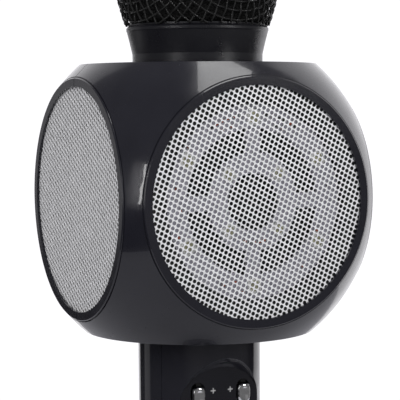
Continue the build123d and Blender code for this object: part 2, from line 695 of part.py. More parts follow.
with BuildPart() as control_panel:
    add(crowned_block(0))
    with BuildSketch(panel_plane(PANEL_BACK - 1)):
        with Locations((-SLIDER_X, SLOT_MIDDLE), (SLIDER_X, SLOT_MIDDLE)):
            SlotOverall(SLOT_LENGTH, SLOT_WIDTH, rotation=90)
        for x, z, size in BUTTONS.values():
            with Locations((x, z)):
                button_outline(size, BUTTON_CLEAR)
        with Locations((0, LENS_Z)):
            Circle(LENS_RADIUS)
    extrude(amount=PANEL_FACE, mode=Mode.SUBTRACT)
write(control_panel.part, "control_panel")

with BuildPart() as status_lens:
    with BuildSketch(panel_plane(PANEL_BACK - 1)):
        with Locations((0, LENS_Z)):
            Circle(LENS_RADIUS)
    extrude(amount=PANEL_FACE - PANEL_BACK + 1.1)
write(status_lens.part, "status_lens")

# ---- slider knobs and their potentiometers ---------------------------------------------------------
KNOB_BACK, KNOB_FACE = 13.1, 17.4
KNOB_DIP = 1.0
POT_FACE, POT_WIDTH, POT_LENGTH = 12.4, 7.8, 32.0
STEM_WIDTH, STEM_LENGTH, STEM_BACK = 1.6, 3.0, 11.2

for name, side_x in (("music", -SLIDER_X), ("echo", SLIDER_X)):
    with BuildPart() as knob:
        with BuildSketch(panel_plane(KNOB_BACK)):
            with Locations((side_x, SLIDER_Z)):
                RectangleRounded(KNOB_WIDTH, KNOB_LENGTH, 1.6)
        extrude(amount=KNOB_FACE - KNOB_BACK)
        fillet(knob.faces().sort_by(Axis.Y)[0].edges(), 0.7)
        dip_radius = (KNOB_LENGTH / 2 - 1.3) ** 2 / (2 * KNOB_DIP) + KNOB_DIP / 2
        dip = Plane(
            origin=(side_x - KNOB_WIDTH, -(KNOB_FACE - KNOB_DIP + dip_radius), SLIDER_Z),
            x_dir=(0, 1, 0),
            z_dir=(1, 0, 0),
        )
        with BuildSketch(dip):
            Circle(dip_radius)
        extrude(amount=2 * KNOB_WIDTH, mode=Mode.SUBTRACT)
        with BuildSketch(panel_plane(KNOB_BACK)):
            with Locations((side_x, SLIDER_Z)):
                Rectangle(STEM_WIDTH, STEM_LENGTH)
        extrude(amount=-(KNOB_BACK - STEM_BACK))
    write(knob.part, f"{name}_knob")

    with BuildPart() as pot:
        with BuildSketch(panel_plane(BOARD_FACE)):
            with Locations((side_x, SLOT_MIDDLE)):
                Rectangle(POT_WIDTH, POT_LENGTH)
        extrude(amount=POT_FACE - BOARD_FACE)
        with BuildSketch(panel_plane(POT_FACE)):
            with Locations((side_x, SLOT_MIDDLE)):
                Rectangle(STEM_WIDTH + 0.6, SLOT_LENGTH)
        extrude(amount=-2.0, mode=Mode.SUBTRACT)
    write(pot.part, f"{name}_potentiometer")

# ---- buttons, switches and board -------------------------------------------------------------------
STEM_RADIUS = 1.5
SKIRT_THICK = 0.8
BUTTON_TRAVEL = 0.55

for name, (x, z, size) in BUTTONS.items():
    with BuildPart() as button:
        skirt_front = PANEL_BACK - 0.1
        face = panel_surface(x) + BUTTON_RISE
        with BuildSketch(panel_plane(skirt_front - SKIRT_THICK)):
            with Locations((x, z)):
                button_outline(size, 0)
        extrude(amount=face - skirt_front + SKIRT_THICK)
        fillet(button.faces().sort_by(Axis.Y)[0].edges(), 0.3)
        with BuildSketch(panel_plane(skirt_front - SKIRT_THICK)):
            with Locations((x, z)):
                button_outline(size, 0.6)
        extrude(amount=SKIRT_THICK)
        with BuildSketch(panel_plane(SWITCH_TOP + BUTTON_TRAVEL)):
            with Locations((x, z)):
                Circle(STEM_RADIUS)
        extrude(amount=skirt_front - SKIRT_THICK - SWITCH_TOP - BUTTON_TRAVEL)
    write(button.part, name)

with BuildPart() as tact_switches:
    with BuildSketch(panel_plane(BOARD_FACE)):
        for x, z, size in BUTTONS.values():
            with Locations((x, z)):
                Rectangle(4.6, 4.6)
    extrude(amount=SWITCH_TOP - BOARD_FACE - 1)
    with BuildSketch(panel_plane(SWITCH_TOP - 1)):
        for x, z, size in BUTTONS.values():
            with Locations((x, z)):
                Circle(1.2)
    extrude(amount=1)
write(tact_switches.part, "tact_switches")

with BuildPart() as main_board:
    with BuildSketch(panel_plane(BOARD_FACE - BOARD_THICK)):
        with Locations((0, 70)):
            Rectangle(27, 72)
    extrude(amount=BOARD_THICK)
write(main_board.part, "main_board")

BATTERY_RADIUS, BATTERY_LENGTH, BATTERY_FOOT = 9.1, 65.0, 37.0
with BuildPart() as battery:
    with BuildSketch(Plane.XY.offset(BATTERY_FOOT)):
        with Locations((0, BATTERY_RADIUS - BOARD_FACE + BOARD_THICK + 0.02)):
            Circle(BATTERY_RADIUS)
    extrude(amount=BATTERY_LENGTH)
    fillet(battery.edges().filter_by(GeomType.CIRCLE), 0.8)
write(battery.part, "battery_cell")

# ---- end barrel with its sockets -------------------------------------------------------------------
BASE_THICK = 2.5
SPIGOT_HEIGHT = 5.0
JACK_X, JACK_NOSE, JACK_BODY = 6.5, 2.9, 4.0
JACK_BORE, JACK_DEPTH, JACK_MOUTH = 1.8, 14.0, 0.3
USB_X, USB_WIDTH, USB_DEPTH, USB_HEIGHT = -6.5, 7.6, 2.8, 6.0
USB_FOOT = 0.4

with BuildPart() as end_barrel:
    with BuildSketch(Plane.XY):
        Circle(BARREL_RADIUS)
    extrude(amount=BARREL_TOP - 0.05)
    fillet(end_barrel.edges().sort_by(Axis.Z)[0], 1.5)
    with BuildSketch(Plane.XY.offset(BASE_THICK)):
        Circle(BARREL_RADIUS - HANDLE_WALL - 1.6)
    extrude(amount=BARREL_TOP, mode=Mode.SUBTRACT)
    with BuildSketch(Plane.XY.offset(BARREL_TOP - 1)):
        Circle(BARREL_RADIUS - HANDLE_WALL - 0.15)
        Circle(BARREL_RADIUS - HANDLE_WALL - 1.6, mode=Mode.SUBTRACT)
    extrude(amount=SPIGOT_HEIGHT + 1)
    with BuildSketch(Plane.XY.offset(-1)):
        with Locations((JACK_X, 0)):
            Circle(JACK_NOSE + 0.1)
        with Locations((USB_X, 0)):
            RectangleRounded(USB_WIDTH + 0.2, USB_DEPTH + 0.2, 0.8)
    extrude(amount=BASE_THICK + 2, mode=Mode.SUBTRACT)
    add(spigot_screw(0.02, 1.0, 5.0), mode=Mode.SUBTRACT)
write(end_barrel.part, "end_barrel")

with BuildPart() as audio_jack:
    with BuildSketch(Plane.XY.offset(JACK_MOUTH)):
        with Locations((JACK_X, 0)):
            Circle(JACK_NOSE)
    extrude(amount=BASE_THICK)
    with BuildSketch(Plane.XY.offset(BASE_THICK)):
        with Locations((JACK_X, 0)):
            Circle(JACK_BODY)
    extrude(amount=JACK_DEPTH)
    with BuildSketch(Plane.XY.offset(JACK_MOUTH)):
        with Locations((JACK_X, 0)):
            Circle(JACK_BORE)
    extrude(amount=JACK_DEPTH, mode=Mode.SUBTRACT)
write(audio_jack.part, "audio_jack")

with BuildPart() as usb_socket:
    with BuildSketch(Plane.XY.offset(USB_FOOT)):
        with Locations((USB_X, 0)):
            RectangleRounded(USB_WIDTH, USB_DEPTH, 0.7)
    extrude(amount=USB_HEIGHT)
    with BuildSketch(Plane.XY.offset(USB_FOOT)):
        with Locations((USB_X, 0)):
            RectangleRounded(USB_WIDTH - 0.7, USB_DEPTH - 0.7, 0.5)
            with Locations((0, -0.15)):
                Rectangle(USB_WIDTH - 2.6, 0.5, mode=Mode.SUBTRACT)
    extrude(amount=USB_HEIGHT - 1, mode=Mode.SUBTRACT)
write(usb_socket.part, "usb_socket")

write(spigot_screw(0, -0.1, 2.6), "spigot_screw")
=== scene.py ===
"""Karaoke microphone: the visual model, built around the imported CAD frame. Lengths are in metres."""

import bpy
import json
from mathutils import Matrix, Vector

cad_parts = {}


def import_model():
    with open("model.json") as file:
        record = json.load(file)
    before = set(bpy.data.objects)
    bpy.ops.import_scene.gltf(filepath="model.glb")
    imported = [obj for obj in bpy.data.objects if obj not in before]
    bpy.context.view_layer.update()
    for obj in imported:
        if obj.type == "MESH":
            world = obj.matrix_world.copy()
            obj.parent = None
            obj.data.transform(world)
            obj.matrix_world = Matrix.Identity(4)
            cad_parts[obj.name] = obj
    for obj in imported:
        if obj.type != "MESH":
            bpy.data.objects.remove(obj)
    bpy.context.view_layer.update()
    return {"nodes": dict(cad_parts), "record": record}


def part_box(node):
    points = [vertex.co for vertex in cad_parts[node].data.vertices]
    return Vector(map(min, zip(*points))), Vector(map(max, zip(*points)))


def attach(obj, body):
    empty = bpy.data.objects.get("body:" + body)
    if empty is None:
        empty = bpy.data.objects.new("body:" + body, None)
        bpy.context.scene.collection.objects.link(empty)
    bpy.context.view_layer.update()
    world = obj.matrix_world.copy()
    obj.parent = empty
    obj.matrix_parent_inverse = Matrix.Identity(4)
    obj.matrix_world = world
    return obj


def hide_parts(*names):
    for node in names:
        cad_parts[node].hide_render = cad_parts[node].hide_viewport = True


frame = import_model()

import json
import math
import random

import bpy
import numpy as np
from mathutils import Matrix, Quaternion, Vector

MM = 0.001
NODES = frame["nodes"]
BODY = "microphone"
TURNS = {"front": 0.0, "rear": 180.0, "left": -90.0, "right": 90.0}  # of each side face, in degrees
rng = random.Random(11)


def low(node):
    """Lowest corner of a CAD node."""
    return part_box(node)[0]


def high(node):
    """Highest corner of a CAD node."""
    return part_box(node)[1]


HEAD_Z = (low("grille_front").z + high("grille_front").z) / 2
GRILLE_OUT = -low("grille_front").y
GRILLE_RADIUS = high("grille_front").x
COLLAR_TOP = high("neck_collar").z
BAND_LOW = low("ball_band").z
BAND_HIGH = high("ball_band").z
BALL_RADIUS = high("ball_cage_upper").x
LED_OUT = -low("led_board_front").y
LED_IN = -high("led_board_front").y
LED_RADIUS = high("led_board_front").x


# ---- materials ---------------------------------------------------------------------------------
class Shade:
    """A small helper that builds one procedural material on a Principled BSDF."""

    def __init__(self, name):
        self.mat = bpy.data.materials.new(name)
        self.mat.use_nodes = True
        self.tree = self.mat.node_tree
        self.bsdf = self.tree.nodes["Principled BSDF"]
        self.coords = self.add("ShaderNodeTexCoord").outputs["Object"]

    def add(self, kind, **settings):
        """Adds a node and sets its properties."""
        node = self.tree.nodes.new(kind)
        for key, value in settings.items():
            setattr(node, key, value)
        return node

    def link(self, source, target):
        """Links two sockets."""
        self.tree.links.new(source, target)

    def set(self, **values):
        """Sets constant values on the shader's own sockets."""
        for key, value in values.items():
            self.bsdf.inputs[key.replace("_", " ")].default_value = value

    def noise(self, scale, detail=3.0, rough=0.55, stretch=None, distortion=0.0):
        """Noise in object space; stretch scales the axes unevenly."""
        node = self.add("ShaderNodeTexNoise")
        node.inputs["Scale"].default_value = scale
        node.inputs["Detail"].default_value = detail
        node.inputs["Roughness"].default_value = rough
        node.inputs["Distortion"].default_value = distortion
        source = self.coords
        if stretch:
            mapping = self.add("ShaderNodeMapping")
            mapping.inputs["Scale"].default_value = stretch
            self.link(source, mapping.inputs["Vector"])
            source = mapping.outputs["Vector"]
        self.link(source, node.inputs["Vector"])
        return node.outputs["Fac"]

    def cells(self, scale):
        """Outputs of Voronoi cells in object space."""
        node = self.add("ShaderNodeTexVoronoi", feature="F1")
        node.inputs["Scale"].default_value = scale
        self.link(self.coords, node.inputs["Vector"])
        return node.outputs

    def span(self, value, low_in, high_in, low_out, high_out):
        """Maps a value from one range to another, clamped."""
        node = self.add("ShaderNodeMapRange")
        for index, number in enumerate((low_in, high_in, low_out, high_out)):
            node.inputs[index + 1].default_value = number
        self.link(value, node.inputs["Value"])
        return node.outputs["Result"]

    def math(self, operation, a, b):
        """A Math node; b may be a number or a socket."""
        node = self.add("ShaderNodeMath", operation=operation)
        self.link(a, node.inputs[0])
        if isinstance(b, (int, float)):
            node.inputs[1].default_value = b
        else:
            self.link(b, node.inputs[1])
        return node.outputs[0]

    def tint(self, value, dark, light):
        """Mixes two colours by a value; dark may be a colour or a socket."""
        node = self.add("ShaderNodeMix", data_type="RGBA")
        if isinstance(dark, tuple):
            node.inputs["A"].default_value = (*dark, 1)
        else:
            self.link(dark, node.inputs["A"])
        node.inputs["B"].default_value = (*light, 1)
        self.link(value, node.inputs["Factor"])
        return node.outputs["Result"]

    def bump(self, height, distance, strength=1.0, after=None):
        """Adds a bump, after another one if given, and returns its normal."""
        node = self.add("ShaderNodeBump")
        node.inputs["Distance"].default_value = distance
        node.inputs["Strength"].default_value = strength
        self.link(height, node.inputs["Height"])
        if after:
            self.link(after, node.inputs["Normal"])
        return node.outputs["Normal"]

    def use(self, socket, target):
        """Feeds one of the shader's inputs."""
        self.link(socket, self.bsdf.inputs[target])


def grey(value, blue=0.0):
    """A neutral colour, with a little more blue if asked."""
    return (value, value, value + blue)


def plastic(name, dark, light, rough, ripple=0.0, grain=0.0, dust=0.0, coat=0.0, spec=0.5):
    """Moulded plastic: slow colour and gloss variation, fine scratches, grain, ripple and dust."""
    s = Shade(name)
    s.set(IOR=1.5, Specular_IOR_Level=spec, Coat_Weight=coat, Coat_Roughness=0.035)
    slow = s.noise(45, 4)
    colour = s.tint(s.span(slow, 0.3, 0.7, 0, 1), dark, light)
    scratch = s.noise(900, 2, 0.7, stretch=(1, 1, 0.12), distortion=0.4)
    marks = s.span(scratch, 0.66, 0.74, 0, 1)
    smear = s.span(s.noise(120, 5, 0.65), 0.35, 0.7, rough * 0.82, rough * 1.22)
    s.use(s.math("ADD", smear, s.math("MULTIPLY", marks, 0.09)), "Roughness")
    if dust:
        # a share of the cells has a pale speck in its middle
        cell = s.cells(420)
        near = s.span(cell["Distance"], 0.03, 0.075, 1, 0)
        split = s.add("ShaderNodeSeparateColor")
        s.link(cell["Color"], split.inputs["Color"])
        chosen = s.span(split.outputs["Red"], 1 - dust, 1 - dust + 0.004, 0, 1)
        colour = s.tint(s.math("MULTIPLY", near, chosen), colour, grey(0.55))
    s.use(colour, "Base Color")
    normal = s.bump(s.noise(5200 if grain else 2600, 2), 0.00002, 0.35 + grain)
    if ripple:
        normal = s.bump(s.noise(70, 2), 0.0004, ripple, after=normal)
    s.use(normal, "Normal")
    return s.mat


def metal(name, dark, light, rough, brushed=None, scale=400, bump=0.15):
    """Bare or plated metal with a brushed or blasted finish."""
    s = Shade(name)
    s.set(Metallic=1.0)
    grain = s.noise(scale, 4, 0.6, stretch=brushed)
    s.use(s.tint(s.span(grain, 0.3, 0.7, 0, 1), dark, light), "Base Color")
    s.use(s.span(s.noise(90, 4), 0.3, 0.7, rough * 0.75, rough * 1.3), "Roughness")
    s.use(s.bump(grain, 0.00003, bump), "Normal")
    return s.mat


def painted(name, dark, light, rough):
    """Paint on metal, slightly lumpy."""
    s = Shade(name)
    s.set(IOR=1.5)
    slow = s.noise(160, 4)
    s.use(s.tint(s.span(slow, 0.3, 0.7, 0, 1), dark, light), "Base Color")
    s.use(s.span(s.noise(500, 3), 0.3, 0.7, rough * 0.8, rough * 1.25), "Roughness")
    s.use(s.bump(s.noise(1800, 3), 0.00003, 0.5), "Normal")
    return s.mat


def matt(name, dark, light, rough=0.75, scale=900, depth=0.00004):
    """Rubber, paper, resin and other dull materials."""
    s = Shade(name)
    grain = s.noise(scale, 5, 0.6)
    s.use(s.tint(s.span(grain, 0.25, 0.75, 0, 1), dark, light), "Base Color")
    s.use(s.span(grain, 0.2, 0.8, rough * 0.9, min(1.0, rough * 1.1)), "Roughness")
    s.use(s.bump(grain, depth, 0.6), "Normal")
    return s.mat


def foam_material(name):
    """Black open-cell foam."""
    s = Shade(name)
    pores = s.cells(1500)["Distance"]
    pore_shade = s.span(pores, 0.1, 0.6, 0, 1)
    # the pore centres are painted darker: painted shade in the pores' hollows
    s.use(s.tint(pore_shade, grey(0.002), grey(0.012)), "Base Color")
    s.set(Roughness=0.95, Specular_IOR_Level=0.15)
    s.use(s.bump(pores, 0.0004, 1.0), "Normal")
    return s.mat


def grille_material(name):
    """Pale perforated sheet with a drawn grain and slightly uneven gloss."""
    s = Shade(name)
    grain = s.noise(260, 5, 0.6)
    s.use(s.tint(s.span(grain, 0.3, 0.7, 0, 1), grey(0.80, 0.02), grey(0.95, 0.02)), "Base Color")
    s.set(Metallic=0.3, IOR=1.6, Specular_IOR_Level=0.6)
    s.use(s.span(s.noise(700, 3), 0.3, 0.7, 0.30, 0.46), "Roughness")
    s.use(s.bump(s.noise(3200, 3), 0.00003, 0.5), "Normal")
    return s.mat


def board_material(name, dark, light):
    """Solder mask with faint traces under it."""
    s = Shade(name)
    s.set(IOR=1.5, Coat_Weight=0.2, Coat_Roughness=0.2)
    traces = s.span(s.noise(700, 1, 0.4, stretch=(1, 1, 0.25)), 0.5, 0.53, 0, 1)
    s.use(s.tint(traces, dark, light), "Base Color")
    s.use(s.span(s.noise(300, 3), 0.3, 0.7, 0.38, 0.55), "Roughness")
    s.use(s.bump(traces, 0.00003, 0.4), "Normal")
    return s.mat


def clear_resin(name, colour, rough):
    """Clear or tinted resin."""
    s = Shade(name)
    s.set(IOR=1.5, Transmission_Weight=0.75)
    s.use(s.tint(s.noise(500, 2), colour, tuple(min(1, c * 1.1) for c in colour)), "Base Color")
    s.use(s.span(s.noise(800, 2), 0.3, 0.7, rough, rough * 1.6), "Roughness")
    return s.mat


MATS = {
    "head_plastic": plastic(
        "head_plastic",
        grey(0.009, 0.004),
        grey(0.013, 0.005),
        rough=0.20,
        ripple=0.02,
        dust=0.010,
        coat=0.45,
        spec=0.28,
    ),
    "handle_plastic": plastic(
        "handle_plastic",
        grey(0.013, 0.004),
        grey(0.017, 0.0045),
        rough=0.08,
        ripple=0.03,
        dust=0.006,
    ),
    "panel_plastic": plastic(
        "panel_plastic", grey(0.0072, 0.0026), grey(0.0105, 0.003), rough=0.07, dust=0.006
    ),
    "collar_plastic": plastic(
        "collar_plastic",
        grey(0.006, 0.0022),
        grey(0.009, 0.0026),
        rough=0.32,
        grain=1.3,
        dust=0.004,
        spec=0.7,
    ),
    "ball_wire": painted("ball_wire", grey(0.012), grey(0.020), 0.18),
    "foam": foam_material("foam"),
    "grille_metal": grille_material("grille_metal"),
    "baffle_plastic": matt("baffle_plastic", grey(0.006), grey(0.010), 0.6),
    "led_board": board_material("led_board", (0.36, 0.355, 0.41), (0.43, 0.42, 0.48)),
    "led_lamp": clear_resin("led_lamp", (0.86, 0.85, 0.66), 0.10),
    "basket_steel": painted("basket_steel", grey(0.012), grey(0.02), 0.4),
    "magnet": matt("magnet", grey(0.02), grey(0.05), 0.55, scale=400),
    "cone": matt("cone", grey(0.006), grey(0.012), 0.8, scale=700, depth=0.0001),
    "rubber": matt("rubber", grey(0.008), grey(0.014), 0.7),
    "lead": matt("lead", grey(0.012), grey(0.02), 0.55),
    "plate_metal": metal("plate_metal", grey(0.50), grey(0.62), 0.34, brushed=(1, 0.1, 1)),
    "screw_steel": metal("screw_steel", grey(0.38), grey(0.50), 0.30),
    "knob_chrome": metal("knob_chrome", grey(0.70), grey(0.82), 0.07, scale=900, bump=0.04),
    "electronics": matt("electronics", grey(0.06), grey(0.10), 0.5),
    "circuit_board": board_material("circuit_board", (0.012, 0.10, 0.04), (0.02, 0.16, 0.06)),
    "battery": plastic("battery", (0.02, 0.10, 0.30), (0.03, 0.13, 0.36), 0.25),
    "lens": clear_resin("lens", (0.70, 0.82, 0.92), 0.06),
    "socket_metal": metal("socket_metal", grey(0.52), grey(0.66), 0.25),
    "socket_plastic": matt("socket_plastic", grey(0.012), grey(0.02), 0.45),
}


# second materials of single pieces
LAMP_BODY = matt("lamp_body", (0.75, 0.75, 0.74), (0.82, 0.82, 0.80), 0.4)
LAMP_PHOSPHOR = matt("lamp_phosphor", (0.58, 0.57, 0.42), (0.66, 0.65, 0.50), 0.5)
SOLDER = metal("solder", grey(0.55), grey(0.72), 0.30)
# the grille's hole walls are the sheet's own metal painted dark: painted shade inside the front and rear
# holes
HOLE_WALL_SHADE = matt("hole_wall", grey(0.06), grey(0.10), 0.45)
# on the side grilles the hole walls are painted mid grey: a lighter painted shade, as the backdrop
# lights those holes
SIDE_HOLE_WALL_SHADE = matt("side_hole_wall", grey(0.46), grey(0.54), 0.45)
CHIP_BROWN = matt("chip_brown", (0.34, 0.09, 0.055), (0.44, 0.14, 0.09), 0.5)
CHIP_BLACK = matt("chip_black", grey(0.015), grey(0.03), 0.45)
PRINT = matt("print_grey", grey(0.36), grey(0.44), 0.5)
RECORD_RED = matt("print_red", (0.42, 0.03, 0.03), (0.5, 0.05, 0.04), 0.5)

# every CAD node takes the material of its slot
for entry in frame["record"]["subparts"]:
    node = NODES[entry["node"]]
    node.data.materials.clear()
    node.data.materials.append(MATS[entry["material_slot"]])


# ---- mesh helpers --------------------------------------------------------------------------------
def make(name, verts, faces, material, body=BODY, smooth=True, face_mats=None):
    """Makes a mesh piece that rides on a body."""
    mesh = bpy.data.meshes.new(name)
    mesh.from_pydata([tuple(map(float, v)) for v in verts], [], [tuple(f) for f in faces])
    mats = material if isinstance(material, (list, tuple)) else [material]
    for m in mats:
        mesh.materials.append(m)
    if face_mats is not None:
        mesh.polygons.foreach_set("material_index", list(face_mats))
    mesh.polygons.foreach_set("use_smooth", [smooth] * len(mesh.polygons))
    mesh.update()
    obj = bpy.data.objects.new(name, mesh)
    bpy.context.scene.collection.objects.link(obj)
    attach(obj, body)
    return obj


def sharpen(obj, degrees):
    """Marks edges sharper than an angle, so that smooth shading stops at them."""
    obj.data.set_sharp_from_angle(angle=math.radians(degrees))


def face_point(x, z, out):
    """A point on the front face's own axes, z from the head's centre and out from the axis."""
    return (x, -out, HEAD_Z + z)


def turn_z(points, degrees):
    """Points turned about the microphone's axis."""
    a = math.radians(degrees)
    p = np.asarray(points, float)
    x, y = p[:, 0].copy(), p[:, 1].copy()
    p[:, 0] = x * math.cos(a) - y * math.sin(a)
    p[:, 1] = x * math.sin(a) + y * math.cos(a)
    return p


class Build:
    """Collects vertices and faces, with a material index for each face."""

    def __init__(self):
        self.verts, self.faces, self.mats = [], [], []

    def rings(self, rings, mat=0, cap_first=False, cap_last=False, closed=True):
        """Joins rings of points that have the same count."""
        start = len(self.verts)
        count = len(rings[0])
        for ring in rings:
            self.verts.extend(ring)
        for r in range(len(rings) - 1):
            for i in range(count if closed else count - 1):
                a = start + r * count + i
                b = start + r * count + (i + 1) % count
                self.faces.append((a, b, b + count, a + count))
                self.mats.append(mat)
        if cap_first:
            self.faces.append(tuple(range(start + count - 1, start - 1, -1)))
            self.mats.append(mat)
        if cap_last:
            last = start + (len(rings) - 1) * count
            self.faces.append(tuple(range(last, last + count)))
            self.mats.append(mat)


def revolve(profile, steps, wobble):
    """Vertices and faces of a closed profile of (radius, height) turned about +Z, each point wobbled."""
    verts, faces = [], []
    n = len(profile)
    for i in range(steps):
        a = 2 * math.pi * i / steps
        for k, (r, z) in enumerate(profile):
            r, z = wobble(r, z, a, k)
            verts.append((r * math.cos(a), r * math.sin(a), z))
    for i in range(steps):
        j = (i + 1) % steps
        for k in range(n):
            m = (k + 1) % n
            faces.append((i * n + k, j * n + k, j * n + m, i * n + m))
    return verts, faces


# ---- perforated grilles --------------------------------------------------------------------------
HOLE_RADIUS = 0.63 * MM
HOLE_SPREAD = 0.03  # holes differ in size by this share
HOLE_LIP = 0.05 * MM
HOLE_STEPS = 12
SHEET_THICK = 0.35 * MM
SHEET_INSET = 0.05 * MM  # between the sheet's edge and the CAD disc's
PITCH_A, ANGLE_A = 1.53 * MM, -29.1  # the two directions of the rows of holes, in degrees
PITCH_B, ANGLE_B = 1.58 * MM, -108.7
HOLES_WITHIN = 37.3 * MM
SHEET_WITHIN = 38.5 * MM
CELL_CORNERS = ((-0.5, -0.5), (0.5, -0.5), (0.5, 0.5), (-0.5, 0.5))
LIT_SIDES = ("front", "rear")


def row_step(pitch, degrees):
    """Step from one hole to the next along a row."""
    return np.array([math.cos(math.radians(degrees)), math.sin(math.radians(degrees))]) * pitch


def punched_hole(verts, faces, walls, centre, first, turn, outer):
    """One hole with a rounded lip, joined to the four corners of its cell on both faces."""
    edge = HOLE_RADIUS * rng.uniform(1 - HOLE_SPREAD, 1 + HOLE_SPREAD)
    rings = []
    for radius, out in (
        (edge + HOLE_LIP, GRILLE_OUT),
        (edge, GRILLE_OUT - HOLE_LIP),
        (edge, GRILLE_OUT - SHEET_THICK),
    ):
        ring = []
        for k in range(HOLE_STEPS):
            angle = first + turn * 2 * math.pi * k / HOLE_STEPS
            ring.append(len(verts))
            x = centre[0] + radius * math.cos(angle)
            z = centre[1] + radius * math.sin(angle)
            verts.append((x, -out, HEAD_Z + z))
        rings.append(ring)
    share = HOLE_STEPS // 4
    for q in range(4):
        span = [(q * share + s) % HOLE_STEPS for s in range(share + 1)]
        start, end = outer[0][q], outer[0][(q + 1) % 4]
        faces.append((start, end, *[rings[0][s] for s in reversed(span)]))
        start, end = outer[1][q], outer[1][(q + 1) % 4]
        faces.append((*[rings[2][s] for s in span], end, start))
    for k in range(HOLE_STEPS):
        m = (k + 1) % HOLE_STEPS
        faces.append((rings[0][k], rings[0][m], rings[1][m], rings[1][k]))
        walls.add(len(faces))
        faces.append((rings[1][k], rings[1][m], rings[2][m], rings[2][k]))


def close_rim(faces, known):
    """Adds a wall round the sheet's rim, between its front and back corners."""
    edges = {}
    for face in faces:
        for p, q in zip(face, face[1:] + face[:1]):
            edges[(p, q)] = True
    behind = {}
    for (i, j, layer), index in known.items():
        if layer == 0:
            behind[index] = known.get((i, j, 1))
    for p, q in list(edges):
        if (q, p) not in edges and p in behind and q in behind:
            faces.append((q, p, behind[p], behind[q]))


def grille(side):
    """Flat perforated sheet on a skewed grid of cells, one hole in each."""
    a, b = row_step(PITCH_A, ANGLE_A), row_step(PITCH_B, ANGLE_B)
    reach = int(SHEET_WITHIN / PITCH_A * 1.4) + 2
    verts, faces, known, walls = [], [], {}, set()
    limit = GRILLE_RADIUS - SHEET_INSET
    layers = (GRILLE_OUT, GRILLE_OUT - SHEET_THICK)

    def corner(i, j, layer):
        key = (round(2 * i), round(2 * j), layer)
        if key not in known:
            p = a * i + b * j
            r = float(np.hypot(*p))
            if r > limit:
                p = p * (limit / r)
            known[key] = len(verts)
            verts.append((p[0], -layers[layer], HEAD_Z + p[1]))
        return known[key]

    turn = 1 if a[0] * b[1] - a[1] * b[0] > 0 else -1
    first = math.atan2(*(-(a + b))[::-1])
    for i in range(-reach, reach + 1):
        for j in range(-reach, reach + 1):
            centre = a * i + b * j
            r = float(np.hypot(*centre))
            if r > SHEET_WITHIN:
                continue
            outer = [[corner(i + u, j + v, layer) for u, v in CELL_CORNERS] for layer in (0, 1)]
            if r > HOLES_WITHIN:
                faces.append(tuple(outer[0]))
                faces.append(tuple(outer[1][::-1]))
            else:
                punched_hole(verts, faces, walls, centre, first, turn, outer)
    if turn < 0:
        faces = [face[::-1] for face in faces]
    close_rim(faces, known)
    obj = make(
        f"grille_{side}_sheet",
        turn_z(verts, TURNS[side]),
        faces,
        # the hole walls take a painted shade, darker on the front and rear sheets than on the sides
        [MATS["grille_metal"], HOLE_WALL_SHADE if side in LIT_SIDES else SIDE_HOLE_WALL_SHADE],
        face_mats=[1 if k in walls else 0 for k in range(len(faces))],
    )
    obj.data.validate()
    sharpen(obj, 25)
    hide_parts(f"grille_{side}")


for side in TURNS:
    grille(side)


# ---- lit boards behind the front and rear grilles ------------------------------------------------
BOARD_EYE, WINDOW_IN, WINDOW_OUT, SPOKE = 8.9 * MM, 15.5 * MM, 22.9 * MM, 4.9 * MM
BOARD_ROUND = 0.15 * MM  # rounding of the board's edges
# count, radius, first angle in degrees and size of each ring of lamps
LAMP_RINGS = ((6, 26.2 * MM, 30, 4.6 * MM), (4, 12.2 * MM, 45, 4.0 * MM))
LAMP_TALL = 0.62 * MM
DOME_TALL = 0.33 * MM
CHIP_HALF, CHIP_END, CHIP_WIDE = 0.55 * MM, 0.85 * MM, 0.42 * MM
CHIP_TALL, PAD_TALL = 0.5 * MM, 0.48 * MM
BROWN_SHARE = 0.75
# radius in millimetres and angle in degrees of each chip
CHIPS = (
    [(27.4, angle) for angle in (58, 62, 67, 71, 76, 81, 99, 104, 109, 113, 118, 122)]
    + [(24.8, angle) for angle in (66, 72, 108, 116)]
    + [(28.2, 142), (27.8, 201), (27.5, 247), (28.3, 262), (27.3, 310), (26.4, 240), (25.6, 255)]
    + [(12.6, angle) for angle in (255, 262, 270, 279, 286)]
    + [(24.6, 337), (26.8, 10), (26.9, 170), (25.2, 185)]
)


def board(side):
    """Pale wheel-shaped board with rounded edges and four windows between its spokes."""
    build = Build()

    def ring(radius, out, steps=120):
        return [
            face_point(radius * math.cos(t), radius * math.sin(t), out)
            for t in (2 * math.pi * k / steps for k in range(steps))
        ]

    for inner, outer in ((BOARD_EYE, WINDOW_IN), (WINDOW_OUT, LED_RADIUS)):
        build.rings(
            [
                ring(inner, LED_IN),
                ring(inner, LED_OUT - BOARD_ROUND),
                ring(inner + BOARD_ROUND, LED_OUT),
                ring(outer - BOARD_ROUND, LED_OUT),
                ring(outer, LED_OUT - BOARD_ROUND),
                ring(outer, LED_IN),
                ring(inner, LED_IN),
            ]
        )
    half = SPOKE / 2
    spoke_start = math.sqrt(WINDOW_IN**2 - half**2)
    spoke_end = math.sqrt(WINDOW_OUT**2 - half**2)
    for quarter in range(4):
        a = math.radians(90 * quarter)
        across, along = (-math.sin(a), math.cos(a)), (math.cos(a), math.sin(a))

        def section(distance):
            corners = (
                (-half, LED_IN),
                (-half, LED_OUT - BOARD_ROUND),
                (-half + BOARD_ROUND, LED_OUT),
                (half - BOARD_ROUND, LED_OUT),
                (half, LED_OUT - BOARD_ROUND),
                (half, LED_IN),
            )
            return [
                face_point(
                    along[0] * distance + across[0] * w, along[1] * distance + across[1] * w, out
                )
                for w, out in corners
            ]

        sections = [section(d) for d in np.linspace(spoke_start, spoke_end, 5)]
        build.rings(sections, cap_first=True, cap_last=True)
    points = turn_z(build.verts, TURNS[side])
    obj = make(f"led_board_{side}_wheel", points, build.faces, MATS["led_board"])
    sharpen(obj, 40)
    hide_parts(f"led_board_{side}")


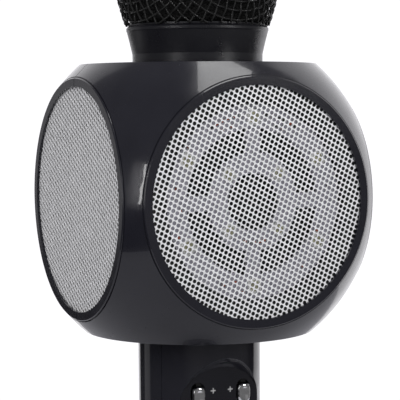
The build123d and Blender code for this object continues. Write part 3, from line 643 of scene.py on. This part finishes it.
def lamp_pack(build, x, z, angle, size):
    """A surface-mounted lamp: a white frame, a clear dome over yellow phosphor, two solder pads."""
    ca, sa = math.cos(angle), math.sin(angle)

    def at(u, v, out):
        return face_point(x + u * ca - v * sa, z + u * sa + v * ca, out)

    def square(half, out, corner=0.25):
        cut = half * corner
        return [
            at(u, v, out)
            for u, v in (
                (-half + cut, -half),
                (half - cut, -half),
                (half, -half + cut),
                (half, half - cut),
                (half - cut, half),
                (-half + cut, half),
                (-half, half - cut),
                (-half, -half + cut),
            )
        ]

    def disc(radius, out, steps=16):
        return [
            at(radius * math.cos(t), radius * math.sin(t), out)
            for t in (2 * math.pi * k / steps for k in range(steps))
        ]

    h = size / 2
    top = LED_OUT + LAMP_TALL
    build.rings(
        [square(h, LED_OUT), square(h, top - 0.08 * MM), square(h * 0.95, top)],
        mat=0,
        cap_last=True,
    )
    build.rings(
        [disc(h * 0.78, top), disc(h * 0.74, top + 0.05 * MM), disc(h * 0.70, top + 0.02 * MM)],
        mat=1,
        cap_last=True,
    )
    domes = [
        disc(h * 0.72 * math.cos(t), top + 0.03 * MM + DOME_TALL * math.sin(t))
        for t in np.radians((0, 25, 50, 70, 84))
    ]
    build.rings(domes, mat=2, cap_last=True)
    for way in (-1, 1):
        pad = [
            [
                at(way * (h + 0.02 * MM + u), v, LED_OUT + out)
                for u, v in ((0, -h * 0.6), (w, -h * 0.6), (w, h * 0.6), (0, h * 0.6))
            ]
            for w, out in ((0.45 * MM, 0.0), (0.40 * MM, 0.05 * MM), (0.18 * MM, 0.18 * MM))
        ]
        build.rings(pad, mat=3, cap_last=True)


def lamps(side):
    """The ten lamps of one board."""
    build = Build()
    for count, radius, start, size in LAMP_RINGS:
        for k in range(count):
            a = math.radians(start + 360 * k / count)
            lamp_pack(build, radius * math.cos(a), radius * math.sin(a), a, size)
    obj = make(
        f"led_lamps_{side}_packs",
        turn_z(build.verts, TURNS[side]),
        build.faces,
        [LAMP_BODY, LAMP_PHOSPHOR, MATS["led_lamp"], SOLDER],
        face_mats=build.mats,
    )
    sharpen(obj, 35)
    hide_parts(f"led_lamps_{side}")


def chip_box(build, place, lean, ends, tall, mat):
    """One box of a chip between two distances along it, with a slightly narrower top."""
    cos_lean, sin_lean = math.cos(lean), math.sin(lean)
    start, end = ends
    outline = ((start, -CHIP_WIDE), (end, -CHIP_WIDE), (end, CHIP_WIDE), (start, CHIP_WIDE))
    rings = []
    for shrink, out in ((0, 0.0), (0, tall * 0.85), (0.05 * MM, tall)):
        ring = []
        for u, v in outline:
            along = u - math.copysign(shrink, u)
            across = v - math.copysign(shrink, v)
            x = place[0] + along * cos_lean - across * sin_lean
            z = place[1] + along * sin_lean + across * cos_lean
            ring.append(face_point(x, z, LED_OUT + out))
        rings.append(ring)
    build.rings(rings, mat=mat, cap_last=True)


def chips(side):
    """Small resistors and capacitors on the board, brown or black with bright ends."""
    build = Build()
    for radius, degrees in CHIPS:
        a = math.radians(degrees)
        place = (radius * MM * math.cos(a), radius * MM * math.sin(a))
        lean = a + math.pi / 2 + rng.uniform(-0.05, 0.05)
        body_mat = 0 if rng.random() < BROWN_SHARE else 1
        end_start = CHIP_HALF + 0.01 * MM
        chip_box(build, place, lean, (-CHIP_HALF, CHIP_HALF), CHIP_TALL, body_mat)
        chip_box(build, place, lean, (-CHIP_END, -end_start), PAD_TALL, 2)
        chip_box(build, place, lean, (end_start, CHIP_END), PAD_TALL, 2)
    make(
        f"led_board_{side}_chips",
        turn_z(build.verts, TURNS[side]),
        build.faces,
        [CHIP_BROWN, CHIP_BLACK, SOLDER],
        smooth=False,
        face_mats=build.mats,
    )


for side in LIT_SIDES:
    board(side)
    lamps(side)
    chips(side)


# ---- wire ball -------------------------------------------------------------------------------------
WIRE_PITCH = 3.1 * MM
WIRE_RADIUS = 0.31 * MM
WIRE_SIDES = 6
WEAVE_TURN = 8.0  # the weave's direction in degrees, from the front towards +X
WEAVE_DEPTH = 0.95 * WIRE_RADIUS  # each wire's swing in and out
DRIFT, DRIFT_LENGTH = 0.10 * MM, 9 * MM  # the wires wander a little sideways
CAGE_FOOT_RADIUS = 23.8 * MM
FOOT_ARC = CAGE_FOOT_RADIUS  # length along the mesh from its pole to the cage's foot
CAGE_BULGE = 0.9 * MM
CAGE_INSET = 0.36 * MM  # from the CAD skin to the wires' middle line


def cage_curve():
    """The lower cage's middle line as (arc length, radius, height) rows."""
    widest = high("ball_cage_lower").x
    foot_z, end_z = COLLAR_TOP + 0.1 * MM, BAND_LOW + 0.6 * MM
    t = np.linspace(0, 1, 60)
    z = foot_z + (end_z - foot_z) * t
    taper = CAGE_FOOT_RADIUS + (widest - CAGE_FOOT_RADIUS) * t
    r = taper + 4 * CAGE_BULGE * t * (1 - t) - CAGE_INSET
    s = np.concatenate([[0], np.cumsum(np.hypot(np.diff(r), np.diff(z)))]) + FOOT_ARC
    return s, r, z


def dome_curve():
    """The dome's middle line as (arc length, radius, height) rows, from the top pole."""
    radius = BALL_RADIUS - CAGE_INSET
    t = np.linspace(0, math.pi / 2, 80)
    return radius * t, radius * np.sin(t), BAND_HIGH - 0.5 * MM + radius * np.cos(t)


def tube(build, points, normals, radius):
    """Sweeps a round wire along points, with a normal at each to start its section from."""
    p = np.asarray(points)
    t = np.gradient(p, axis=0)
    t /= np.linalg.norm(t, axis=1)[:, None]
    n = np.asarray(normals)
    n = n - (n * t).sum(1)[:, None] * t
    n /= np.linalg.norm(n, axis=1)[:, None]
    side = np.cross(t, n)
    rings = []
    for k in range(len(p)):
        ring = []
        for m in range(WIRE_SIDES):
            a = 2 * math.pi * m / WIRE_SIDES
            ring.append(tuple(p[k] + radius * (math.cos(a) * n[k] + math.sin(a) * side[k])))
        rings.append(ring)
    build.rings(rings, cap_first=True, cap_last=True)


def weave(curve, first, last):
    """Woven wire draped over a surface of revolution, flat square mesh wrapped from its pole."""
    arc, radius, height = curve
    build = Build()
    slope_r, slope_z = np.gradient(radius, arc), np.gradient(height, arc)
    count = int(last / WIRE_PITCH) + 1
    step = WIRE_PITCH / 4
    for axis in (0, 1):
        for line in range(-count, count + 1):
            fixed = line * WIRE_PITCH
            along = np.arange(-last - step, last + step, step)
            drift = DRIFT * np.sin(along / DRIFT_LENGTH + line * 1.7 + axis)
            rho = np.hypot(fixed + drift, along)
            keep = (rho >= first) & (rho <= last)
            edges = np.flatnonzero(np.diff(np.concatenate([[0], keep.astype(int), [0]])))
            for start, end in zip(edges[::2], edges[1::2]):
                if end - start < 3:
                    continue
                s = along[start:end]
                f = fixed + drift[start:end]
                u, v = (s, f) if axis == 0 else (f, s)
                distance = rho[start:end]
                angle = np.arctan2(u, v) + math.radians(WEAVE_TURN)
                r = np.interp(distance, arc, radius)
                z = np.interp(distance, arc, height)
                nr = np.interp(distance, arc, np.abs(slope_z))
                nz = np.interp(distance, arc, -slope_r * np.sign(slope_z + 1e-12))
                wave = np.cos(math.pi * (s / WIRE_PITCH + line)) * (1 if axis == 0 else -1)
                r = r + nr * wave * WEAVE_DEPTH
                z = z + nz * wave * WEAVE_DEPTH
                points = np.stack([r * np.sin(angle), -r * np.cos(angle), z], 1)
                normals = np.stack([nr * np.sin(angle), -nr * np.cos(angle), nz], 1)
                tube(build, points, normals, WIRE_RADIUS)
    return build


def cage(name, node, curve, first, last):
    """One woven half of the ball."""
    build = weave(curve, first, last)
    obj = make(name, build.verts, build.faces, MATS["ball_wire"])
    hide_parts(node)


lower, upper = cage_curve(), dome_curve()
cage("ball_mesh_lower", "ball_cage_lower", lower, FOOT_ARC, lower[0][-1])
cage("ball_mesh_upper", "ball_cage_upper", upper, 0.0, upper[0][-1])


FOAM_THICK = 3.5 * MM
FOAM_FOOT_RADIUS = 22.0 * MM
FOAM_LUMP = 0.16 * MM
POLE_RADIUS = 0.05 * MM  # of the tiny opening left at the dome's pole


def foam_profile():
    """Section of the foam as (radius, height): up its outside and back down its inside."""
    lo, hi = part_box("windscreen_foam")
    radius = hi.x
    outer, inner = [], []
    for t in np.linspace(0, 1, 16):
        z = lo.z + (BAND_LOW - lo.z) * t
        r = FOAM_FOOT_RADIUS + (radius - FOAM_FOOT_RADIUS) * t + 4 * CAGE_BULGE * t * (1 - t)
        outer.append((r, z))
        inner.append((r - FOAM_THICK, z))
    for t in np.linspace(0.02, 1, 26):
        a = t * math.pi / 2
        for skin, skin_radius in ((outer, radius), (inner, radius - FOAM_THICK)):
            r = max(skin_radius * math.cos(a), POLE_RADIUS)
            skin.append((r, BAND_HIGH + skin_radius * math.sin(a)))
    return outer + inner[::-1]


def foam():
    """Foam liner of the ball, a closed shell with a slightly lumpy skin."""

    def lump(r, z, a, k):
        if r < 1 * MM:
            return r, z
        d = FOAM_LUMP * (math.sin(7 * a + z * 900) + math.sin(13 * a - z * 1500 + k) * 0.5)
        return r - abs(d) * 0.8, z

    verts, faces = revolve(foam_profile(), 96, lump)
    obj = make("windscreen_foam_liner", verts, faces, MATS["foam"])
    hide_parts("windscreen_foam")


foam()


# ---- slider knobs ----------------------------------------------------------------------------------
KNOB_HEAD_TALL = 4.2 * MM
KNOB_ROUND = 0.85 * MM  # rounding of the head's front edge
KNOB_SIDE_END = 1.05 * MM  # how far behind the front the straight sides end
STEM_HALF_WIDE, STEM_HALF_LONG = 0.8 * MM, 1.5 * MM
DISH_INSET_X, DISH_INSET_Z, DISH_DEPTH = 0.8 * MM, 1.0 * MM, 0.13 * MM
KNOB_STEPS = 48


def lozenge(cx, cz, w, h, out, power=3.2):
    """Rounded rectangle round a centre, squarer with a higher power."""
    ring = []
    for k in range(KNOB_STEPS):
        t = 2 * math.pi * k / KNOB_STEPS
        c, s = math.cos(t), math.sin(t)
        x = w * math.copysign(abs(c) ** (2 / power), c)
        z = h * math.copysign(abs(s) ** (2 / power), s)
        ring.append((cx + x, -out, cz + z))
    return ring


def knob(name):
    """Chrome slider knob: a rounded lozenge with a shallow dish and a stem."""
    lo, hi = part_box(name)
    cx, cz = (lo.x + hi.x) / 2, (lo.z + hi.z) / 2
    half_w, half_h = (hi.x - lo.x) / 2, (hi.z - lo.z) / 2
    front, back = -lo.y, -hi.y
    shoulder = front - KNOB_HEAD_TALL
    rings = [
        lozenge(cx, cz, STEM_HALF_WIDE, STEM_HALF_LONG, back, 8),
        lozenge(cx, cz, STEM_HALF_WIDE, STEM_HALF_LONG, shoulder, 8),
        lozenge(cx, cz, half_w * 0.97, half_h * 0.97, shoulder),
        lozenge(cx, cz, half_w, half_h, shoulder + 0.15 * MM),
        lozenge(cx, cz, half_w, half_h, front - KNOB_SIDE_END),
    ]
    for t in np.linspace(0.2, 1, 6):
        a = t * math.pi / 2
        shrink = KNOB_ROUND * (1 - math.cos(a))
        out = front - KNOB_ROUND * (1 - math.sin(a))
        rings.append(lozenge(cx, cz, half_w - shrink, half_h - shrink, out))
    dish_w, dish_h = half_w - DISH_INSET_X, half_h - DISH_INSET_Z
    for t in np.linspace(0, 0.98, 9):
        out = front - DISH_DEPTH * (1 - (1 - t) ** 2)
        rings.append(lozenge(cx, cz, dish_w * (1 - t), dish_h * (1 - t), out, 2.3))
    build = Build()
    build.rings(rings, cap_first=True, cap_last=True)
    obj = make(f"{name}_chrome", build.verts, build.faces, MATS["knob_chrome"], name)
    sharpen(obj, 60)
    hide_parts(name)


for name in ("music_knob", "echo_knob"):
    knob(name)


# ---- printed marks ---------------------------------------------------------------------------------
PANEL_CROWN = 77.0 * MM  # radius of the panel's gently crowned face
PANEL_FACE = -low("control_panel").y
PRINT_LIFT, PRINT_SINK = 0.02 * MM, 0.03 * MM  # ink above and below the surface


def panel_out(x):
    """Distance of the crowned panel's face from the axis."""
    return PANEL_FACE - PANEL_CROWN + math.sqrt(PANEL_CROWN**2 - x * x)


def printed(name, polygons, out, body, material=PRINT):
    """Thin ink shapes. Each polygon is a list of (x, z); out gives the surface's distance at x."""
    build = Build()
    for polygon in polygons:
        rings = []
        for lift in (-PRINT_SINK, PRINT_LIFT):
            rings.append([(x, -(out(x) + lift), z) for x, z in polygon])
        build.rings(rings, cap_last=True)
    make(name, build.verts, build.faces, material, body, smooth=False)


def bar(x, z, w, h):
    """Rectangle polygon."""
    return [(x + u * w / 2, z + v * h / 2) for u, v in ((-1, -1), (1, -1), (1, 1), (-1, 1))]


def plus(x, z, size, stroke):
    """Cross polygon, one arm after another."""
    s, t = size / 2, stroke / 2
    arm = ((-t, -s), (t, -s), (t, -t))
    points = []
    for _ in range(4):
        points.extend((x + u, z + v) for u, v in arm)
        arm = tuple((-v, u) for u, v in arm)
    return points


def disc(x, z, radius, steps=24):
    """Round polygon."""
    turns = np.linspace(0, 2 * math.pi, steps + 1)[:-1]
    return [(x + radius * math.cos(t), z + radius * math.sin(t)) for t in turns]


def arc_band(x, z, radius, stroke, start, end, steps=24):
    """Open ring polygon between two angles in degrees."""
    points = []
    for r, first, last in ((radius + stroke / 2, start, end), (radius - stroke / 2, end, start)):
        for t in np.radians(np.linspace(first, last, steps)):
            points.append((x + r * math.cos(t), z + r * math.sin(t)))
    return points


SLIDER_MARK_X, MARK_SHIFT, PLUS_Z, MINUS_Z = 3.1 * MM, 0.27 * MM, 95.0 * MM, 76.6 * MM
MARK_SIZE, MARK_STROKE = 1.75 * MM, 0.36 * MM

# beside each slider, a plus near its top and a minus near its bottom
marks = []
for sign in (-1, 1):
    mark_x = sign * SLIDER_MARK_X + MARK_SHIFT
    marks.append(plus(mark_x, PLUS_Z, MARK_SIZE, MARK_STROKE))
    marks.append(bar(mark_x, MINUS_Z, MARK_SIZE, MARK_STROKE))
printed("slider_marks", marks, panel_out, BODY)


def button_centre(name):
    """Centre of a button's face and its distance from the axis."""
    lo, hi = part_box(name)
    return (lo.x + hi.x) / 2, (lo.z + hi.z) / 2, -lo.y


def triangle(x, z, size, way):
    """Arrow head polygon that points to +X or -X."""
    tip, base = x + way * size * 0.55, x - way * size * 0.45
    return [(base, z - size * 0.55), (tip, z), (base, z + size * 0.55)][::way]


def button_mark(name, shapes, material=PRINT):
    """Ink on a button's flat face, riding with it."""
    x, z, out = button_centre(name)
    printed(f"{name}_mark", shapes(x, z), lambda _: out, name, material)


def play_mark(x, z):
    """A triangle and two bars."""
    bars = [bar(x + shift * MM, z, 0.45 * MM, 2.4 * MM) for shift in (1.2, 2.1)]
    return [triangle(x - 0.9 * MM, z, 2.3 * MM, 1), *bars]


def skip_mark(way):
    """A triangle that points to a bar, to +X or -X."""

    def shapes(x, z):
        arrow = triangle(x - way * 0.25 * MM, z, 1.7 * MM, way)
        return [arrow, bar(x + way * 0.95 * MM, z, 0.35 * MM, 1.8 * MM)]

    return shapes


def mode_mark(x, z):
    """An open ring with a dash in its gap."""
    ring = arc_band(x, z, 0.75 * MM, 0.3 * MM, -150, 150)
    return [ring, bar(x - 1.0 * MM, z, 0.6 * MM, 0.3 * MM)]


def record_mark(x, z):
    """A dot."""
    return [disc(x, z, 0.75 * MM)]


def power_mark(x, z):
    """A ring open at the top, with an upright bar in its gap."""
    ring = arc_band(x, z, 1.3 * MM, 0.34 * MM, 125, 415)
    return [ring, bar(x, z + 1.15 * MM, 0.34 * MM, 1.4 * MM)]


button_mark("play_button", play_mark)
button_mark("previous_button", skip_mark(-1))
button_mark("next_button", skip_mark(1))
button_mark("mode_button", mode_mark)
button_mark("record_button", record_mark, RECORD_RED)
button_mark("power_button", power_mark)


# ---- floor, lights and camera ----------------------------------------------------------------------
VIEW_AZIMUTH = math.radians(25.73)  # the camera stands to the left of the front
TO_CAMERA = Vector((-math.sin(VIEW_AZIMUTH), -math.cos(VIEW_AZIMUTH), 0))
TO_RIGHT = Vector((math.cos(VIEW_AZIMUTH), -math.sin(VIEW_AZIMUTH), 0))
CAMERA_DISTANCE, CAMERA_RISE = 0.505, 0.0305
CAMERA_PITCH, CAMERA_ROLL = math.radians(3.634), math.radians(-0.334)
CAMERA_LENS, CAMERA_SHIFT = 136.18, 0.0042
FLOOR_RADIUS, FLOOR_DROP = 0.30, 0.0002
FLOOR_RINGS, FLOOR_STEPS = 24, 96
CAMERA_WHITE = 1.1  # strength that the camera sees in the sky and at the floor's rim


def heading(azimuth):
    """Level direction at an azimuth in degrees, from the front (-Y) towards +X."""
    a = math.radians(azimuth)
    return Vector((math.sin(a), -math.cos(a), 0))


def floor():
    """Pale round floor that brightens to white at its rim."""
    verts, faces = [(0, 0, 0)], []
    for r in range(1, FLOOR_RINGS + 1):
        for k in range(FLOOR_STEPS):
            a = 2 * math.pi * k / FLOOR_STEPS
            d = FLOOR_RADIUS * (r / FLOOR_RINGS) ** 1.5
            verts.append((d * math.cos(a), d * math.sin(a), 0))
    for k in range(FLOOR_STEPS):
        following = (k + 1) % FLOOR_STEPS
        faces.append((0, 1 + k, 1 + following))
        for r in range(FLOOR_RINGS - 1):
            a, b = 1 + r * FLOOR_STEPS + k, 1 + r * FLOOR_STEPS + following
            faces.append((a, a + FLOOR_STEPS, b + FLOOR_STEPS, b))
    mesh = bpy.data.meshes.new("floor")
    mesh.from_pydata(verts, [], faces)
    obj = bpy.data.objects.new("floor", mesh)
    bpy.context.scene.collection.objects.link(obj)
    obj.location.z = -FLOOR_DROP
    s = Shade("floor")
    s.set(Roughness=0.8, Specular_IOR_Level=0.2)
    s.use(s.tint(s.noise(3, 2), grey(0.46, 0.03), grey(0.50, 0.03)), "Base Color")
    s.bsdf.inputs["Emission Color"].default_value = (1, 1, 1, 1)
    length = s.add("ShaderNodeVectorMath", operation="LENGTH")
    s.link(s.coords, length.inputs[0])
    rim = s.span(length.outputs["Value"], 0.18, 0.29, 0.0, CAMERA_WHITE)
    is_camera = s.add("ShaderNodeLightPath").outputs["Is Camera Ray"]
    s.use(s.math("MULTIPLY", rim, is_camera), "Emission Strength")
    # clear from underneath, so that the base can be looked at
    s.use(s.span(s.add("ShaderNodeNewGeometry").outputs["Backfacing"], 0, 1, 1, 0), "Alpha")
    mesh.materials.append(s.mat)


def world():
    """White to the camera; to the object, a white backdrop behind and a dim room in front."""
    scene_world = bpy.data.worlds.new("studio")
    bpy.context.scene.world = scene_world
    scene_world.use_nodes = True
    tree = scene_world.node_tree
    background = tree.nodes["Background"]
    new = tree.nodes.new

    def calc(operation, a, b):
        node = new("ShaderNodeMath")
        node.operation = operation
        for index, value in enumerate((a, b)):
            if isinstance(value, (int, float)):
                node.inputs[index].default_value = value
            else:
                tree.links.new(value, node.inputs[index])
        return node.outputs[0]

    def ramp(value, low_in, high_in, low_out, high_out):
        node = new("ShaderNodeMapRange")
        node.interpolation_type = "SMOOTHSTEP"
        for index, number in enumerate((low_in, high_in, low_out, high_out)):
            node.inputs[index + 1].default_value = number
        tree.links.new(value, node.inputs["Value"])
        return node.outputs["Result"]

    coords = new("ShaderNodeTexCoord").outputs["Generated"]
    split = new("ShaderNodeSeparateXYZ")
    tree.links.new(coords, split.inputs[0])
    rise = split.outputs["Z"]
    level = new("ShaderNodeCombineXYZ")
    tree.links.new(split.outputs["X"], level.inputs["X"])
    tree.links.new(split.outputs["Y"], level.inputs["Y"])
    unit = new("ShaderNodeVectorMath")
    unit.operation = "NORMALIZE"
    tree.links.new(level.outputs[0], unit.inputs[0])

    def facing(azimuth):
        node = new("ShaderNodeVectorMath")
        node.operation = "DOT_PRODUCT"
        node.inputs[1].default_value = heading(azimuth)
        tree.links.new(unit.outputs[0], node.inputs[0])
        return node.outputs["Value"]

    def within(azimuth, inner, outer, level_in=1.0):
        """1 within an angle of an azimuth, fading to 0 at a wider one."""
        edges = (math.cos(math.radians(outer)), math.cos(math.radians(inner)))
        return ramp(facing(azimuth), *edges, 0.0, level_in)

    def between(bottom, top, soft):
        """1 between two heights of the sky, with soft ends."""
        above = ramp(rise, bottom - soft, bottom, 0, 1)
        return calc("MULTIPLY", above, ramp(rise, top, top + soft, 1, 0))

    behind = within(154, 51, 57, 1.06)
    left_fade = ramp(facing(90), -0.5, 0.0, 0.6, 1.1)
    low_sky = ramp(rise, 0.72, 0.90, 1.0, 0.25)
    backdrop = calc("MULTIPLY", calc("MULTIPLY", behind, left_fade), low_sky)
    # a dim room in front, and darker low at the left
    lit_part = calc("MAXIMUM", within(15, 45, 80), ramp(rise, -0.02, 0.12, 0.15, 1.0))
    room = calc("MULTIPLY", ramp(rise, -0.3, 0.35, 0.16, 0.15), lit_part)
    # low at the left the backdrop ends early, and two narrow grey boards stand beyond it
    below = ramp(rise, 0.30, 0.12, 0.0, 1.0)
    leftward = facing(252)
    gap = calc("MULTIPLY", ramp(leftward, 0.35, 0.40, 0.0, 1.0), below)
    backdrop = calc("MULTIPLY", backdrop, calc("SUBTRACT", 1.0, gap))
    cut_board = calc("MULTIPLY", within(203, 8, 12), between(-0.075, 0.9, 0.03))
    boards = calc("MAXIMUM", within(218, 8, 11), cut_board)
    grey_board = calc("MULTIPLY", calc("MULTIPLY", boards, below), 0.34)
    # soft light round the left upright strip, and a pale wall low in front
    glow = calc("MULTIPLY", within(-64.5, 0.5, 7), between(0.02, 0.30, 0.14))
    left_glow = calc("MULTIPLY", glow, 1.35)
    wall = calc("MULTIPLY", within(14, 9, 15), between(-0.14, -0.02, 0.05))
    pale_wall = calc("MULTIPLY", wall, 0.24)
    value = backdrop
    for part in (room, grey_board, left_glow, pale_wall):
        value = calc("MAXIMUM", value, part)
    is_camera = new("ShaderNodeLightPath").outputs["Is Camera Ray"]
    mix = new("ShaderNodeMix")
    mix.data_type = "FLOAT"
    tree.links.new(is_camera, mix.inputs[0])
    tree.links.new(value, mix.inputs[2])
    mix.inputs[3].default_value = CAMERA_WHITE
    background.inputs["Color"].default_value = (0.98, 0.97, 1.0, 1)
    tree.links.new(mix.outputs[0], background.inputs["Strength"])


def softbox(name, centre, aim, width, height, power, glossy=True, lean=0.0):
    """Rectangular area light that the camera doesn't see; lean turns it in its own plane."""
    data = bpy.data.lights.new(name, "AREA")
    data.shape = "RECTANGLE"
    data.size, data.size_y = width, height
    data.energy = power
    obj = bpy.data.objects.new(name, data)
    bpy.context.scene.collection.objects.link(obj)
    obj.location = centre
    direction = Vector(aim) - Vector(centre)
    turn = Quaternion((0, 0, 1), math.radians(lean))
    obj.rotation_euler = (direction.to_track_quat("-Z", "Y") @ turn).to_euler()
    obj.visible_camera = False
    obj.visible_glossy = glossy
    return obj


def lights():
    """Overhead softbox, an upright strip at each side, and two fills left out of reflections."""
    target = Vector((0, 0, HEAD_Z))
    height = 1.1
    # the overhead box's left edge lies straight above the line from the microphone to the camera
    half_wide, half_deep = 0.22 * height, 0.30 * height
    middle = target + TO_RIGHT * half_wide + TO_CAMERA * (0.17 * height) + Vector((0, 0, height))
    below = middle - Vector((0, 0, 1))
    overhead = softbox("overhead", middle, below, 2 * half_wide, 2 * half_deep, 5.5)
    overhead.rotation_euler = (0, 0, math.atan2(TO_RIGHT.y, TO_RIGHT.x))
    for name, azimuth, lift, lean, wide, power in (
        ("left_strip", -61.3, 0.15, -5.0, 0.014, 0.28),
        ("right_strip", 28.0, 0.28, 0.0, 0.035, 1.1),
    ):
        place = target + heading(azimuth) * 0.9 + Vector((0, 0, lift))
        softbox(name, place, target, wide, 0.376, power, lean=lean)
    fill = target + TO_CAMERA * 1.0 + TO_RIGHT * 0.1 + Vector((0, 0, 0.40))
    softbox("front_fill", fill, target, 1.0, 0.7, 8.3, glossy=False)
    left = target + TO_CAMERA * 0.3 - TO_RIGHT * 1.1 + Vector((0, 0, 0.5))
    softbox("left_fill", left, target, 0.8, 0.8, 5.9, glossy=False)


def camera():
    """Long lens from the front left, a little above the middle of the head."""
    data = bpy.data.cameras.new("camera")
    data.lens = CAMERA_LENS
    data.sensor_width = 36.0
    data.shift_x = CAMERA_SHIFT
    data.clip_start = 0.01
    obj = bpy.data.objects.new("camera", data)
    bpy.context.scene.collection.objects.link(obj)
    forward = -TO_CAMERA * math.cos(CAMERA_PITCH) - Vector((0, 0, math.sin(CAMERA_PITCH)))
    up = TO_RIGHT.cross(forward)
    right = TO_RIGHT * math.cos(CAMERA_ROLL) + up * math.sin(CAMERA_ROLL)
    up = up * math.cos(CAMERA_ROLL) - TO_RIGHT * math.sin(CAMERA_ROLL)
    place = TO_CAMERA * CAMERA_DISTANCE + Vector((0, 0, HEAD_Z + CAMERA_RISE))
    columns = [right, up, -forward, place]
    obj.matrix_world = Matrix([[c[row] for c in columns] for row in range(3)]).to_4x4()
    bpy.context.scene.camera = obj


floor()
world()
lights()
camera()
bpy.context.scene.view_settings.view_transform = "Standard"
